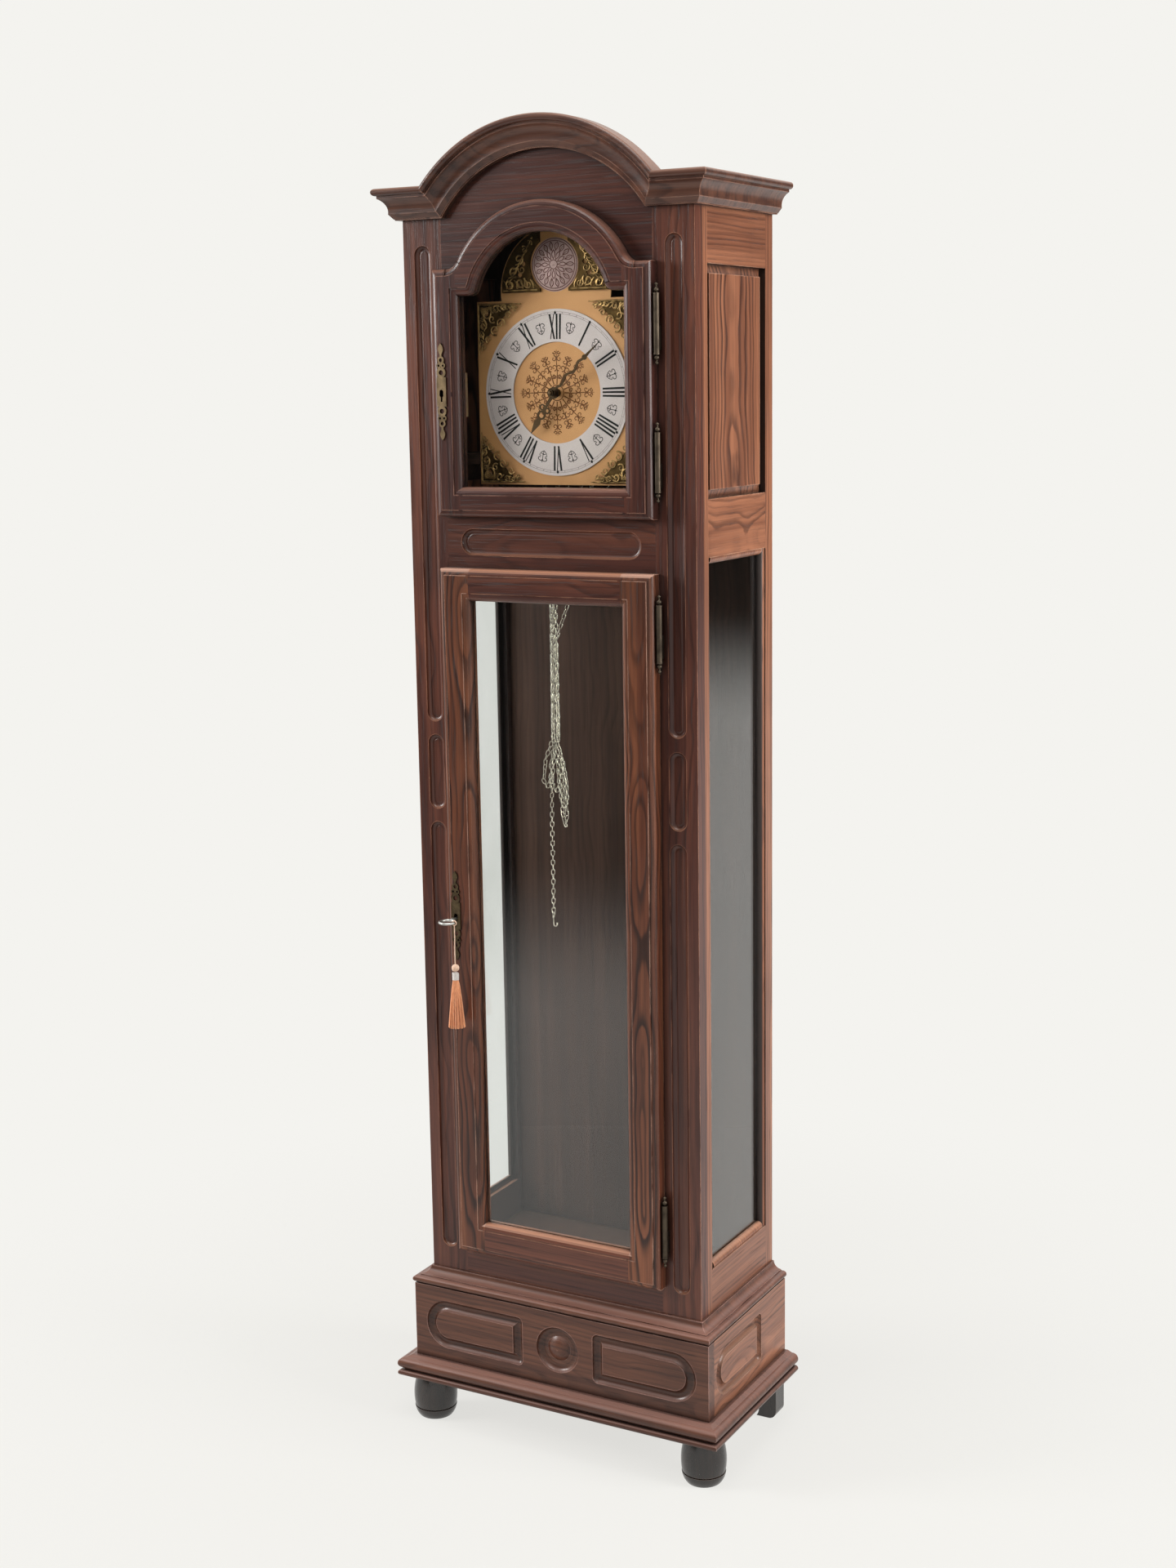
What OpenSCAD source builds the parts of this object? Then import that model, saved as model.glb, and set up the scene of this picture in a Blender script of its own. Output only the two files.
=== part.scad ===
/* [Carcase] */
// Width of the case between its outer sides
case_w = 450; // [440:1:490]
// Depth of the case, front frame to the rear edges of the sides
case_d = 245; // [238:1:290]
// Thickness of the boards of the front frame
frame_t = 22; // [18:1:24]
// Thickness of the side frames
side_t = 20; // [18:1:22]
// Width of the front stile of a side frame, behind the front frame
side_front_w = 14; // [10:1:24]
// Width of the rear stile of a side frame
side_rear_w = 24; // [20:1:34]
// Height of the front frame below the trunk door
below_trunk_door = 41; // [36:1:60]
// Height of the front frame that shows between the two doors
between_doors = 72.5; // [66:0.5:84]
// Height of the front frame from the hood door's shoulders to the cornice
above_hood_door = 69; // [64:1:80]
// How far the front frame reaches behind a door's edge
door_overlap = 12; // [8:1:14]
// Distance of the front frame's opening inside a door's edge, at the sides
opening_inset = 5; // [4:0.5:7]
// Thickness of the back panel
back_t = 8; // [5:1:10]
// Thickness of the floor and top boards
board_t = 10; // [8:1:12]

/* [Routed decoration] */
// Width of a long routed panel on a front stile
flute_w = 26; // [25:1:28]
// Height of the short middle panel on a front stile
flute_mid_h = 109; // [90:1:130]
// Height from the case's bottom to the short middle panel
flute_mid_z = 707; // [680:1:740]
// Gap between the routed panels of a front stile
flute_gap = 19; // [14:1:30]
// Distance of the routed panels from the case's bottom and the cornice
flute_end = 35; // [24:1:50]
// Radius of the cutter that routed the grooves of the front frame
flute_cutter_r = 6; // [5:0.5:6]
// Height of the routed panel on the rail between the doors
rail_flute_h = 37; // [30:1:44]
// Depth of the routed grooves
groove_depth = 5; // [3:0.5:5]

/* [Feet and base] */
// Height of the feet
foot_h = 69; // [60:1:80]
// Radius of a bun foot at its widest
bun_r = 33; // [29:0.5:35]
// Width of a rear bracket foot
rear_foot_w = 42; // [36:1:50]
// Height of the base moulding
base_h = 31; // [28:0.5:35]
// Projection of the base moulding beyond the plinth
base_out = 22; // [20:0.5:26]

/* [Plinth] */
// Height of the plinth box
plinth_h = 115; // [105:1:130]
// Projection of the plinth beyond the case, front and sides
plinth_out = 21.3; // [18:0.1:25]
// Thickness of the plinth boards
plinth_t = 18; // [15:1:20]
// Height of the routed panels on the plinth
plinth_panel_h = 75; // [64:1:82]
// Distance of the front panels from the plinth's centre line
plinth_panel_in = 59; // [54:1:70]
// Distance of a front panel from the plinth's side edge
plinth_panel_side = 20; // [16:1:30]
// Radius of the cutter that routed the plinth panels
plinth_cutter_r = 8.5; // [7:0.5:9.5]
// Depth of the grooves round the plinth panels
plinth_groove_depth = 6; // [4:0.5:6.5]
// Outer radius of the ring at the plinth's centre
ring_r = 35; // [30:0.5:37]
// Height of the waist moulding between plinth and case
waist_h = 25; // [23:0.5:29]

/* [Cornice] */
// Height of the cornice moulding
cornice_h = 42.6; // [40:0.1:48]
// Projection of the cornice moulding
cornice_out = 31.5; // [30:0.5:36]
// Inner radius of the arched cornice
cornice_arch_r = 189.3; // [186:0.1:195]
// Depth of the arch's centre below the cornice
cornice_arch_drop = 106; // [100:1:112]

/* [Doors] */
// Width of both doors
door_w = 338; // [330:1:344]
// Thickness of both doors
door_t = 21; // [20:0.5:23]
// Height of the trunk door
trunk_door_h = 1016; // [980:1:1060]
// Width of the trunk door's stiles
trunk_stile_w = 49; // [44:1:54]
// Width of the trunk door's top rail
trunk_top_w = 45; // [42:1:54]
// Width of the trunk door's bottom rail
trunk_bottom_w = 50; // [44:1:60]
// Height of the hood door up to its shoulders
hood_door_h = 336.5; // [328:0.5:350]
// Width of the hood door's stiles
hood_stile_w = 41; // [38:1:46]
// Width of the hood door's bottom rail
hood_bottom_w = 41; // [38:1:46]
// Width of the hood door's head at its shoulders
hood_head_w = 36.5; // [34:0.5:42]
// Outer radius of the hood door's arch
hood_arch_r = 147.4; // [145:0.1:150]
// Depth of the arch's centre below the hood door's shoulders
hood_arch_drop = 61.7; // [58:0.1:66]
// Radius of the hollow between the arch and a shoulder
hood_fillet_r = 20; // [17:0.5:22]
// Thickness of the door glass
glass_t = 3; // [2.5:0.5:4]

/* [Side panels] */
// Height from the case's bottom to the side glass
side_glass_z = 64; // [54:1:80]
// Height of the side glass opening
side_glass_h = 1013; // [960:1:1030]
// Height of the rail between side glass and side panel
side_mid_rail = 78; // [60:1:90]
// Height of the opening of the raised side panel
side_panel_h = 307; // [280:1:315]
// Width of the bevel round the raised side panel
panel_bevel = 20; // [14:1:26]
// Width of the beads that hold the side glass
side_bead_w = 9; // [7:0.5:12]

/* [Hinges] */
// Radius of a hinge's barrel
barrel_r = 4.25; // [3.8:0.05:4.4]
// Length of a hinge's barrel without its finials
barrel_len = 75; // [66:1:84]
// Radius of a hinge's pin
pin_r = 2.2; // [1.8:0.1:2.5]
// Height of the lower trunk hinge above the door's bottom
trunk_hinge_low = 88; // [76:1:110]
// Depth of the upper trunk hinge below the door's top
trunk_hinge_high = 80; // [74:1:110]
// Height of the lower hood hinge above the door's bottom
hood_hinge_low = 75.5; // [72:0.5:90]
// Depth of the upper hood hinge below the door's shoulder
hood_hinge_high = 81; // [74:1:96]

/* [Locks and key] */
// Distance of a keyhole from the middle of the case
keyhole_x = 154; // [152:0.5:155]
// Height of the trunk door's key above the door's bottom
trunk_key_up = 511; // [480:1:540]
// Height of the hood door's keyhole above the door's bottom
hood_key_up = 167; // [150:1:180]
// Height of an escutcheon
escutcheon_h = 132; // [120:1:140]
// Width of an escutcheon
escutcheon_w = 15; // [13:0.5:17]
// Thickness of an escutcheon
escutcheon_t = 1.6; // [1.2:0.1:2.4]
// Travel of a lock's bolt
bolt_throw = 8; // [6:0.5:9]
// Outer radius of the key's bow
bow_r = 13.3; // [12:0.1:15]
// Radius of the wire-like rim of the bow
bow_wire_r = 2; // [1.4:0.1:2.2]
// Distance of the bow's near edge from the escutcheon
key_neck = 9; // [7:0.5:12]

/* [Tassel] */
// Length of the cord from the key's bow to the bead
tassel_cord_len = 61; // [52:1:70]
// Radius of the tassel's bead
bead_r = 5.5; // [4.5:0.5:6.5]
// Length of the tassel's skirt
skirt_len = 70; // [60:1:80]
// Radius of the skirt at its lower edge
skirt_r = 13; // [10:0.5:14]

/* [Dial and hands] */
// Width and height of the square part of the dial
dial_w = 250; // [240:1:254]
// Height of the dial's centre above the hood door's bottom
dial_up = 168; // [165:0.5:172]
// Outer radius of the chapter ring
chapter_r = 112.5; // [108:0.5:114]
// Width of the chapter ring
chapter_w = 44; // [38:1:48]
// Height of the dial's arch centre above the dial's centre
dial_arch_up = 137.5; // [134:0.5:140]
// Radius of the dial's arch
dial_arch_r = 86; // [80:1:90]
// Height of the boss above the dial's centre
boss_up = 171; // [168:0.5:174]
// Radius of the boss in the arch
boss_r = 36; // [32:0.5:38]
// Depth of the dial behind the case's front
dial_back = 30; // [28:0.5:34]
// Length of the hour hand from its centre
hour_hand_len = 66; // [58:1:70]
// Length of the minute hand from its centre
minute_hand_len = 96; // [88:1:100]
// Minutes past seven that the hands show
minutes_shown = 8; // [0:1:59]

/* [Movement] */
// Distance between the movement's two plates
plate_gap = 47.5; // [46:0.5:54]
// Distance from the dial to the movement's front plate
motion_space = 28; // [28:0.5:34]
// Width of the movement's plates
plate_w = 156; // [150:1:170]
// Height of the movement's plates
plate_h = 145; // [140:1:155]
// Height of the movement's centre above its seat
centre_up = 82.5; // [80:0.5:90]
// Distance between neighbouring chain wheels
chain_wheel_pitch = 48; // [46:1:52]
// Height of the chain wheels above the movement's seat
chain_wheel_up = 35; // [32:1:38]
// Radius at which a chain runs on its wheel
sprocket_r = 14; // [12:0.5:15]
// Length of the pendulum leader
leader_len = 250; // [200:1:260]
// Length of a gong rod
gong_len = 220; // [180:1:240]

/* [Chains] */
// Radius of the tube that one chain fills
chain_r = 2.5; // [2.2:0.1:2.6]
// Height of the point where the last chain joins the others, below the movement's seat
gather_down = 265; // [240:1:280]
// Height of the knot below the movement's seat
knot_down = 410; // [390:1:430]

/* [Clearances] */
// Gap between a closed door and the front frame
door_gap = 0.8; // [0.5:0.1:1.2]
// Radial clearance of a running shaft
running = 0.05; // [0.03:0.01:0.08]
// Clearance round a piece that is let in
let_in = 0.15; // [0.1:0.05:0.3]
// Clearance round a piece that slides
sliding = 0.3; // [0.2:0.1:0.5]

/* [Hidden] */

// A channel's floor lies this far above the deepest line of the groove round it
channel_floor_rise = 0.4;
$fn = 48;
eps = 0.01;

// Colours, as on the stained oak, the brass and the dial
oak = [0.36, 0.20, 0.14];
oak_side = [0.50, 0.31, 0.21];
dark_oak = [0.13, 0.08, 0.06];
board = [0.22, 0.14, 0.11];
bronze = [0.45, 0.40, 0.28];
brass = [0.75, 0.62, 0.32];
steel = [0.62, 0.62, 0.60];
gold = [0.83, 0.65, 0.38];
silvered = [0.78, 0.73, 0.71];
clear_glass = [0.75, 0.85, 0.85, 0.35];
peach = [0.90, 0.62, 0.42];

// Heights from the floor up
base_z = foot_h;
plinth_z = base_z + base_h;
waist_z = plinth_z + plinth_h;
case_z = waist_z + waist_h;
trunk_door_z = case_z + below_trunk_door;
trunk_door_top = trunk_door_z + trunk_door_h;
hood_door_z = trunk_door_top + between_doors;
hood_shoulder_z = hood_door_z + hood_door_h;
cornice_z = hood_shoulder_z + above_hood_door;
cornice_top = cornice_z + cornice_h;
case_top = cornice_top - 5.6;

// Widths and depths
half_w = case_w / 2;
inner_w = half_w - side_t;
door_half = door_w / 2;
opening_half = door_half - opening_inset;
door_back = -door_gap;
door_front = door_back - door_t;
back_front = case_d - 7 - back_t;
plinth_half = half_w + plinth_out;

// Origin under the middle of the overall box, the key's bow included
key_front = door_front - escutcheon_t - key_neck - 2 * bow_r;
front_reach = min(key_front, -plinth_out - base_out);
y_mid = (front_reach + case_d) / 2;

// Arches
hood_arch_z = hood_shoulder_z - hood_arch_drop;
glass_arch_r = hood_arch_r - hood_stile_w - 0.4;
glass_fillet_r = 13;
pediment_z = cornice_z - cornice_arch_drop;
pediment_r = cornice_arch_r + cornice_h - 6;

// Door glazing: lip behind the moulding, then the glass, then the beads
lip_t = 3;
rebate = 8;
edge_zone = 12;
edge_r = 7;
edge_step = 1.5;
moulding_r = 8;
moulding_step = 1;
moulding_quirk = 3;
moulding_t = moulding_r + moulding_step;
glass_front = door_front + moulding_t + lip_t;
glass_back = glass_front + glass_t;
trunk_glass_half = door_half - trunk_stile_w;
hood_glass_half = door_half - hood_stile_w;
hood_joint_x = hood_arch_r * hollow_x(hood_shoulder_z, hood_arch_z, hood_arch_r, hood_fillet_r)
    / (hood_arch_r + hood_fillet_r);
trunk_glass_z0 = trunk_door_z + trunk_bottom_w;
trunk_glass_z1 = trunk_door_top - trunk_top_w;
hood_glass_z0 = hood_door_z + hood_bottom_w;
hood_glass_z1 = hood_shoulder_z - hood_head_w;

// Side openings
side_y0 = frame_t + side_front_w;
side_y1 = case_d - side_rear_w;
side_z0 = case_z + side_glass_z;
side_z1 = side_z0 + side_glass_h;
side_z2 = side_z1 + side_mid_rail;
side_z3 = side_z2 + side_panel_h;
side_slot_x = half_w - 14;
side_slot_t = 4;
side_slot_in = 6;

// Hinges
hinge_x = door_half + barrel_r + 0.75;
hinge_y = door_back - door_t / 2;
leaf_t = 2;
leaf_h = barrel_len / 2 - 6;
leaf_gap = 2;
case_leaf_in = 16;
case_leaf_y = hinge_y + barrel_r + case_leaf_in;
door_leaf_in = 17;
trunk_hinges = [trunk_door_z + trunk_hinge_low, trunk_door_top - trunk_hinge_high];
hood_hinges = [hood_door_z + hood_hinge_low, hood_shoulder_z - hood_hinge_high];

// Locks
shank_r = 2.4;
trunk_key_z = trunk_door_z + trunk_key_up;
hood_key_z = hood_door_z + hood_key_up;
keyhole_rise = 4.5;
bit_r = 8;
bit_t = 2;
lock_w = 29;
lock_h = 60;
lock_d = 13;
lock_wall = 1.4;
lock_x0 = -opening_half + 2.5;
bolt_h = 12;
bolt_t = 5;
bolt_len = 21;
bolt_up = 5;
bolt_y = door_back + 4;
bow_y = door_front - escutcheon_t - key_neck - bow_r;
bow_mean_r = bow_r - bow_wire_r;

// Tassel
cord_r = 0.9;
loop_r = bow_wire_r + 0.4 + cord_r;
tassel_x = -keyhole_x + bow_mean_r;
bead_z = trunk_key_z - tassel_cord_len - bead_r;
band_h = 12;
band_r = 4.8;

// Dial
dial_z = hood_door_z + dial_up;
dial_t = 2;
ring_t = 1.6;
spandrel_t = 3;
boss_t = 4;
chapter_in = chapter_r - chapter_w;
minute_turn = minutes_shown * 6;
hour_turn = 210 + minutes_shown / 2;

// Movement
seat_z = dial_z - centre_up;
front_plate_y = dial_back + dial_t + motion_space;
plate_t = 2.5;
back_plate_y = front_plate_y + plate_t + plate_gap;
seat_t = 15;
chain_y = front_plate_y + plate_t + plate_gap / 2 + 1.5;
arbor_r = 2;
pipe_r = 3.1;
hour_pipe_r = 4.6;
hour_seat_r = hour_pipe_r - 0.95;
motion_module = 0.75;
cannon_teeth = 12;
minute_teeth = 36;
minute_pinion_teeth = 10;
hour_teeth = 40;
pinion_w = 6;
wheel_t = 3;
cannon_y = front_plate_y - 9.5;
minute_wheel_y = front_plate_y - 8;
hour_wheel_y = front_plate_y - 15;
centre_pinion_y = back_plate_y - 12;
great_y = centre_pinion_y + 1.5;
motion_distance = motion_module * (cannon_teeth + minute_teeth) / 2;
hour_module = 2 * motion_distance / (minute_pinion_teeth + hour_teeth);
centre_pinion_teeth = 12;
great_teeth = 72;
great_distance = centre_up - chain_wheel_up;
great_module = 2 * great_distance / (centre_pinion_teeth + great_teeth);
// Angle from the centre to the minute wheel's stud, as gears are drawn
minute_side = 225;
minute_x = motion_distance * cos(minute_side);
minute_z = dial_z + motion_distance * sin(minute_side);
leader_y = back_plate_y + plate_t + 12;
leader_z = seat_z + plate_h + 32;
hammer_x = 50;
hammer_y = back_plate_y + plate_t + 16;
hammer_z = seat_z + 105;
hammer_reach = 61;
gong_y = hammer_y + hammer_reach + 11;
gong_z = hammer_z + 130;
chain_wheel_z = seat_z + chain_wheel_up;

// Chains: points chosen along each run, from the seat down to the hooks
gather_z = seat_z - gather_down;
knot_z = seat_z - knot_down;
gather_x = [-50, -47.4, -44.7, -45.3, -42.6, -40];
gather_y = [3.4, -1.3, -6, 6, 1.3, -3.4];
gather_up = [65, 65, 65, 65, 65, 0];
braid_x = -45;
braid_spread = 1.3;
bundle = [
    [[-50, 0, 0], [-61, -3, -30], [-65, -2, -62], [-61, 0, -72], [-57, 2, -62], [-50, 3, -22]],
    [[-48, 0, -6], [-56, 4, -40], [-54, 5, -70], [-48, 5, -78], [-43, 4, -68], [-44, 2, -30]],
    [[-44, 0, 0], [-33, -4, -26], [-26, -4, -60], [-26, -3, -92], [-31, -2, -99], [-36, -2, -90],
        [-40, -3, -40]],
    [[-44, 0, -10], [-39, 3, -50], [-38, 4, -110], [-33, 3, -126], [-29, 1, -112], [-32, 1, -60],
        [-37, 2, -30]],
    [[-46, 0, -10], [-50, -5, -60], [-52, -3, -120], [-53, -1, -200], [-54, 0, -262]]
];
hook_len = 18;

// Places a piece drawn from the case's front face about the overall middle
module in_case() {
    translate([0, -y_mid, 0]) children();
}

// Both sides of the case from its right-hand one
module both_sides() {
    children();
    mirror([1, 0, 0]) children();
}

// A box from its lower corner to its upper one
module box(low, high) {
    translate(low) cube(high - low);
}

// A flat shape drawn in x and z, from depth y0 back to y1
module upright(y0, y1) {
    translate([0, y1, 0]) rotate([90, 0, 0]) linear_extrude(y1 - y0) children();
}

// A shaft along the depth, between y0 and y1
module shaft(x, z, r, y0, y1) {
    translate([x, y0, z]) rotate([-90, 0, 0]) cylinder(r = r, h = y1 - y0);
}

// A round bar between two points, with a ball at its far end
module bar(a, b, r) {
    run = b - a;
    len = norm(run);
    translate(a)
        rotate([0, acos(run.z / len), atan2(run.y, run.x)])
            cylinder(r = r, h = len, $fn = 24);
    translate(b) sphere(r, $fn = 24);
}

// Moulding on three sides of the case, mitred at the front corners.
// The child is its section: out from the side, and up.
module front_length(half, reach) {
    intersection() {
        rotate([90, 0, -90]) linear_extrude(2 * (half + reach), center = true) children();
        translate([0, 0, -1]) linear_extrude(200) mitre_wedge(half, reach);
    }
}

module mitre_wedge(half, reach) {
    inner = 60;
    polygon([
        [-half - reach, -reach], [half + reach, -reach],
        [half - inner, inner], [-half + inner, inner]
    ]);
}

module side_length(half, reach, depth) {
    inner = 60;
    intersection() {
        translate([half, depth, 0]) rotate([90, 0, 0]) linear_extrude(depth + reach) children();
        translate([0, 0, -1]) linear_extrude(200)
            polygon([
                [half + reach, -reach], [half + reach, depth],
                [half - inner, depth], [half - inner, inner]
            ]);
    }
}

// Arched outline: straight sides, shoulders, hollows and a round arch.
// grow moves the whole outline outwards.
module arched_outline(half, z0, shoulder, arch_z, arch_r, fillet_r, grow = 0) {
    fx = hollow_x(shoulder, arch_z, arch_r, fillet_r);
    translate([-half - grow, z0 - grow]) square([2 * (half + grow), shoulder - z0 + 2 * grow]);
    translate([0, arch_z]) circle(arch_r + grow, $fn = 96);
    for (flip = [0, 1])
        mirror([flip, 0])
            difference() {
                polygon([[0, arch_z], [fx, shoulder - grow], [fx, shoulder + fillet_r]]);
                translate([fx, shoulder + fillet_r]) circle(fillet_r - grow, $fn = 96);
            }
}

// A section laid at both edges of a board, with the plain board between
module edge_pair(half, y0, y1) {
    for (flip = [0, 1]) mirror([flip, 0]) translate([half, 0]) children();
    translate([-half + edge_zone, y0]) square([2 * (half - edge_zone), y1 - y0]);
}

// Straight-sided board or opening whose four edges have a moulded section.
// The child is the section: outwards from the edge, and back in depth.
module framed_block(half, z0, z1, y0, y1) {
    intersection() {
        translate([0, 0, z0 - 40]) linear_extrude(z1 - z0 + 80) edge_pair(half, y0, y1) children();
        translate([0, 0, (z0 + z1) / 2])
            rotate([0, -90, 0])
                linear_extrude(2 * half + 80, center = true)
                    edge_pair((z1 - z0) / 2, y0, y1) children();
    }
}

// Sideways place of the hollow beside a round arch, on the right-hand side
function hollow_x(shoulder, arch_z, arch_r, fillet_r) =
    sqrt(pow(arch_r + fillet_r, 2) - pow(shoulder + fillet_r - arch_z, 2));

// A section run round the arch and its two hollows.
// The child is the section: outwards from the edge, and back in depth.
module arch_run(shoulder, arch_z, arch_r, fillet_r) {
    fx = hollow_x(shoulder, arch_z, arch_r, fillet_r);
    lean = atan2(fx, shoulder + fillet_r - arch_z);
    translate([0, 0, arch_z])
        rotate([-90, 0, 0])
            rotate([0, 0, -90 - lean])
                rotate_extrude(angle = 2 * lean, $fn = 96) translate([arch_r, 0]) children();
    both_sides()
        translate([fx, 0, shoulder + fillet_r])
            rotate([-90, 0, 0])
                rotate([0, 0, 90])
                    rotate_extrude(angle = lean, $fn = 96)
                        translate([fillet_r, 0]) mirror([1, 0]) children();
}

// What is cut from the outer edge of a square-cornered board
module straight_edge(half, z0, z1) {
    both_sides()
        translate([0, 0, z0 - 1]) linear_extrude(z1 - z0 + 2) translate([half, 0]) children();
    translate([half + 1, 0, z0])
        rotate([0, -90, 0]) linear_extrude(2 * half + 2) mirror([1, 0]) children();
    translate([half + 1, 0, z1])
        rotate([0, -90, 0]) linear_extrude(2 * half + 2) children();
}

// What is cut from the outer edge of a board with an arched top
module arched_edge(half, z0, shoulder, arch_z, arch_r, fillet_r) {
    fx = hollow_x(shoulder, arch_z, arch_r, fillet_r);
    arch_run(shoulder, arch_z, arch_r, fillet_r) children();
    both_sides() {
        translate([0, 0, z0 - 1]) linear_extrude(shoulder - z0 + 2) translate([half, 0]) children();
        translate([half + 1, 0, shoulder])
            rotate([0, -90, 0]) linear_extrude(half + 1 - fx) children();
    }
    translate([half + 1, 0, z0])
        rotate([0, -90, 0]) linear_extrude(2 * half + 2) mirror([1, 0]) children();
}

// An arched opening with a moulded front edge, as what is cut from the board
module arched_opening(half, z0, shoulder, arch_z, arch_r, fillet_r, y0, y1) {
    fx = hollow_x(shoulder, arch_z, arch_r, fillet_r);
    upright(y0, y1) arched_outline(half, z0, shoulder, arch_z, arch_r, fillet_r);
    arch_run(shoulder, arch_z, arch_r, fillet_r) children();
    difference() {
        framed_block(half, z0, shoulder, y0, y1) {
            translate([-edge_zone, y0]) square([edge_zone, y1 - y0]);
            children();
        }
        box([-fx, y0 - 1, shoulder - 1], [fx, y1 + 1, shoulder + 40]);
    }
}

// Section cut from a door's outer edge: a small step, then an eased edge
module door_edge() {
    translate([0, door_front])
        polygon(concat(
            [[1, -1], [-edge_r - 2, -1], [-edge_r - 2, edge_step]],
            [for (a = [0 : 22.5 : 90]) [edge_r * (sin(a) - 1), edge_step + edge_r * (1 - cos(a))]],
            [[1, edge_step + edge_r + 4]]
        ));
}

// Section cut from the front edge of a glazed opening: eased, with a quirk
module door_flare() {
    translate([0, door_front])
        polygon(concat(
            [[-1, -1], [-1, moulding_t + 4]],
            [for (a = [0 : 22.5 : 90]) [moulding_r * (1 - cos(a)), moulding_t - moulding_r * sin(a)]],
            [[moulding_r + moulding_quirk, moulding_step], [moulding_r + moulding_quirk, -1]]
        ));
}

// A door stile's mortises for the hinge leaves, and the keyhole through it
module door_fittings(hinges, key_z) {
    for (z = hinges)
        box([door_half - door_leaf_in, hinge_y - leaf_t / 2 - let_in, z + leaf_gap - let_in],
            [door_half + 1, hinge_y + leaf_t / 2 + let_in, z + leaf_gap + leaf_h + let_in]);
    upright(door_front - 1, door_back + 1) keyhole_outline(key_z, 1);
}

// Keyhole: an upright slot for the shank and a slit below it for the bit
module keyhole_outline(key_z, grow) {
    hole_r = shank_r + 0.7 + grow;
    slit_w = 2.8 + 2 * grow;
    for (up = [0, keyhole_rise]) translate([-keyhole_x, key_z + up]) circle(hole_r);
    translate([-keyhole_x - hole_r, key_z]) square([2 * hole_r, keyhole_rise]);
    translate([-keyhole_x - slit_w / 2, key_z - bit_r - 1]) square([slit_w, bit_r + 1]);
}

module hood_door_body() {
    difference() {
        upright(door_front, door_back)
            arched_outline(door_half, hood_door_z, hood_shoulder_z, hood_arch_z, hood_arch_r, hood_fillet_r);
        arched_edge(door_half, hood_door_z, hood_shoulder_z, hood_arch_z, hood_arch_r, hood_fillet_r)
            door_edge();
        arched_opening(hood_glass_half, hood_glass_z0, hood_glass_z1, hood_arch_z, glass_arch_r,
            glass_fillet_r, door_front - 1, door_back + 1) door_flare();
        upright(glass_front, door_back + 1) hood_pane_outline(rebate + let_in);
        door_fittings(hood_hinges, hood_key_z);
    }
}

module hood_pane_outline(grow) {
    arched_outline(hood_glass_half, hood_glass_z0, hood_glass_z1, hood_arch_z, glass_arch_r,
        glass_fillet_r, grow);
}

module trunk_door_body() {
    difference() {
        box([-door_half, door_front, trunk_door_z], [door_half, door_back, trunk_door_top]);
        straight_edge(door_half, trunk_door_z, trunk_door_top) door_edge();
        framed_block(trunk_glass_half, trunk_glass_z0, trunk_glass_z1, door_front - 1, door_back + 1) {
            translate([-edge_zone, door_front - 1]) square([edge_zone, door_t + 2]);
            door_flare();
        }
        upright(glass_front, door_back + 1) trunk_pane_outline(rebate + let_in);
        door_fittings(trunk_hinges, trunk_key_z);
    }
}

module trunk_pane_outline(grow) {
    translate([-trunk_glass_half - grow, trunk_glass_z0 - grow])
        square([2 * (trunk_glass_half + grow), trunk_glass_z1 - trunk_glass_z0 + 2 * grow]);
}

// A groove of round section along a closed track with two round ends
module stadium_groove(w, h, cutter_r) {
    track_r = w / 2 - groove_half(cutter_r, groove_depth);
    run = h / 2 - w / 2;
    for (side = [-1, 1])
        translate([side * track_r, 0, 0]) cylinder(r = cutter_r, h = 2 * run, center = true);
    for (end = [-1, 1])
        translate([0, 0, end * run])
            rotate([90, end > 0 ? 0 : 180, 0])
                rotate_extrude(angle = 180) translate([track_r, 0]) circle(cutter_r);
}

// A channel with round ends: a groove round its border, and its middle cut down nearly as deep
module stadium_channel(w, h, cutter_r) {
    middle_r = w / 2 - groove_half(cutter_r, groove_depth);
    run = h / 2 - w / 2;
    floor_y = cutter_r - channel_floor_rise;
    stadium_groove(w, h, cutter_r);
    translate([0, floor_y / 2, 0]) cube([2 * middle_r - 1.4, floor_y, 2 * run], center = true);
    for (end = [-1, 1])
        translate([0, 0, end * run])
            rotate([-90, 0, 0]) cylinder(r = middle_r + 0.5, h = floor_y);
}

// Half the width that a cutter leaves at the surface
function groove_half(cutter_r, depth) = sqrt(cutter_r * cutter_r - pow(cutter_r - depth, 2));

// A groove round a panel with one round end and one square end
module rounded_end_groove(w, h, cutter_r) {
    inset = groove_half(cutter_r, plinth_groove_depth);
    track_r = h / 2 - inset;
    square_end = w - inset;
    for (side = [-1, 1]) {
        translate([h / 2, 0, side * track_r])
            rotate([0, 90, 0]) cylinder(r = cutter_r, h = square_end - h / 2);
        translate([square_end, 0, side * track_r]) sphere(cutter_r);
    }
    translate([square_end, 0, 0]) cylinder(r = cutter_r, h = 2 * track_r, center = true);
    translate([h / 2, 0, 0])
        rotate([90, 0, 0])
            rotate([0, 0, 90]) rotate_extrude(angle = 180) translate([track_r, 0]) circle(cutter_r);
}

// Involute gear as a flat shape, with a tooth on the x axis
function tooth_angle(r, base_r) = r <= base_r ? 0 : tan(acos(base_r / r)) * 180 / PI - acos(base_r / r);

function flank(r, teeth, pitch_r, base_r, slack) =
    90 / teeth - slack / pitch_r * 90 / PI + tooth_angle(pitch_r, base_r) - tooth_angle(r, base_r);

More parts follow.
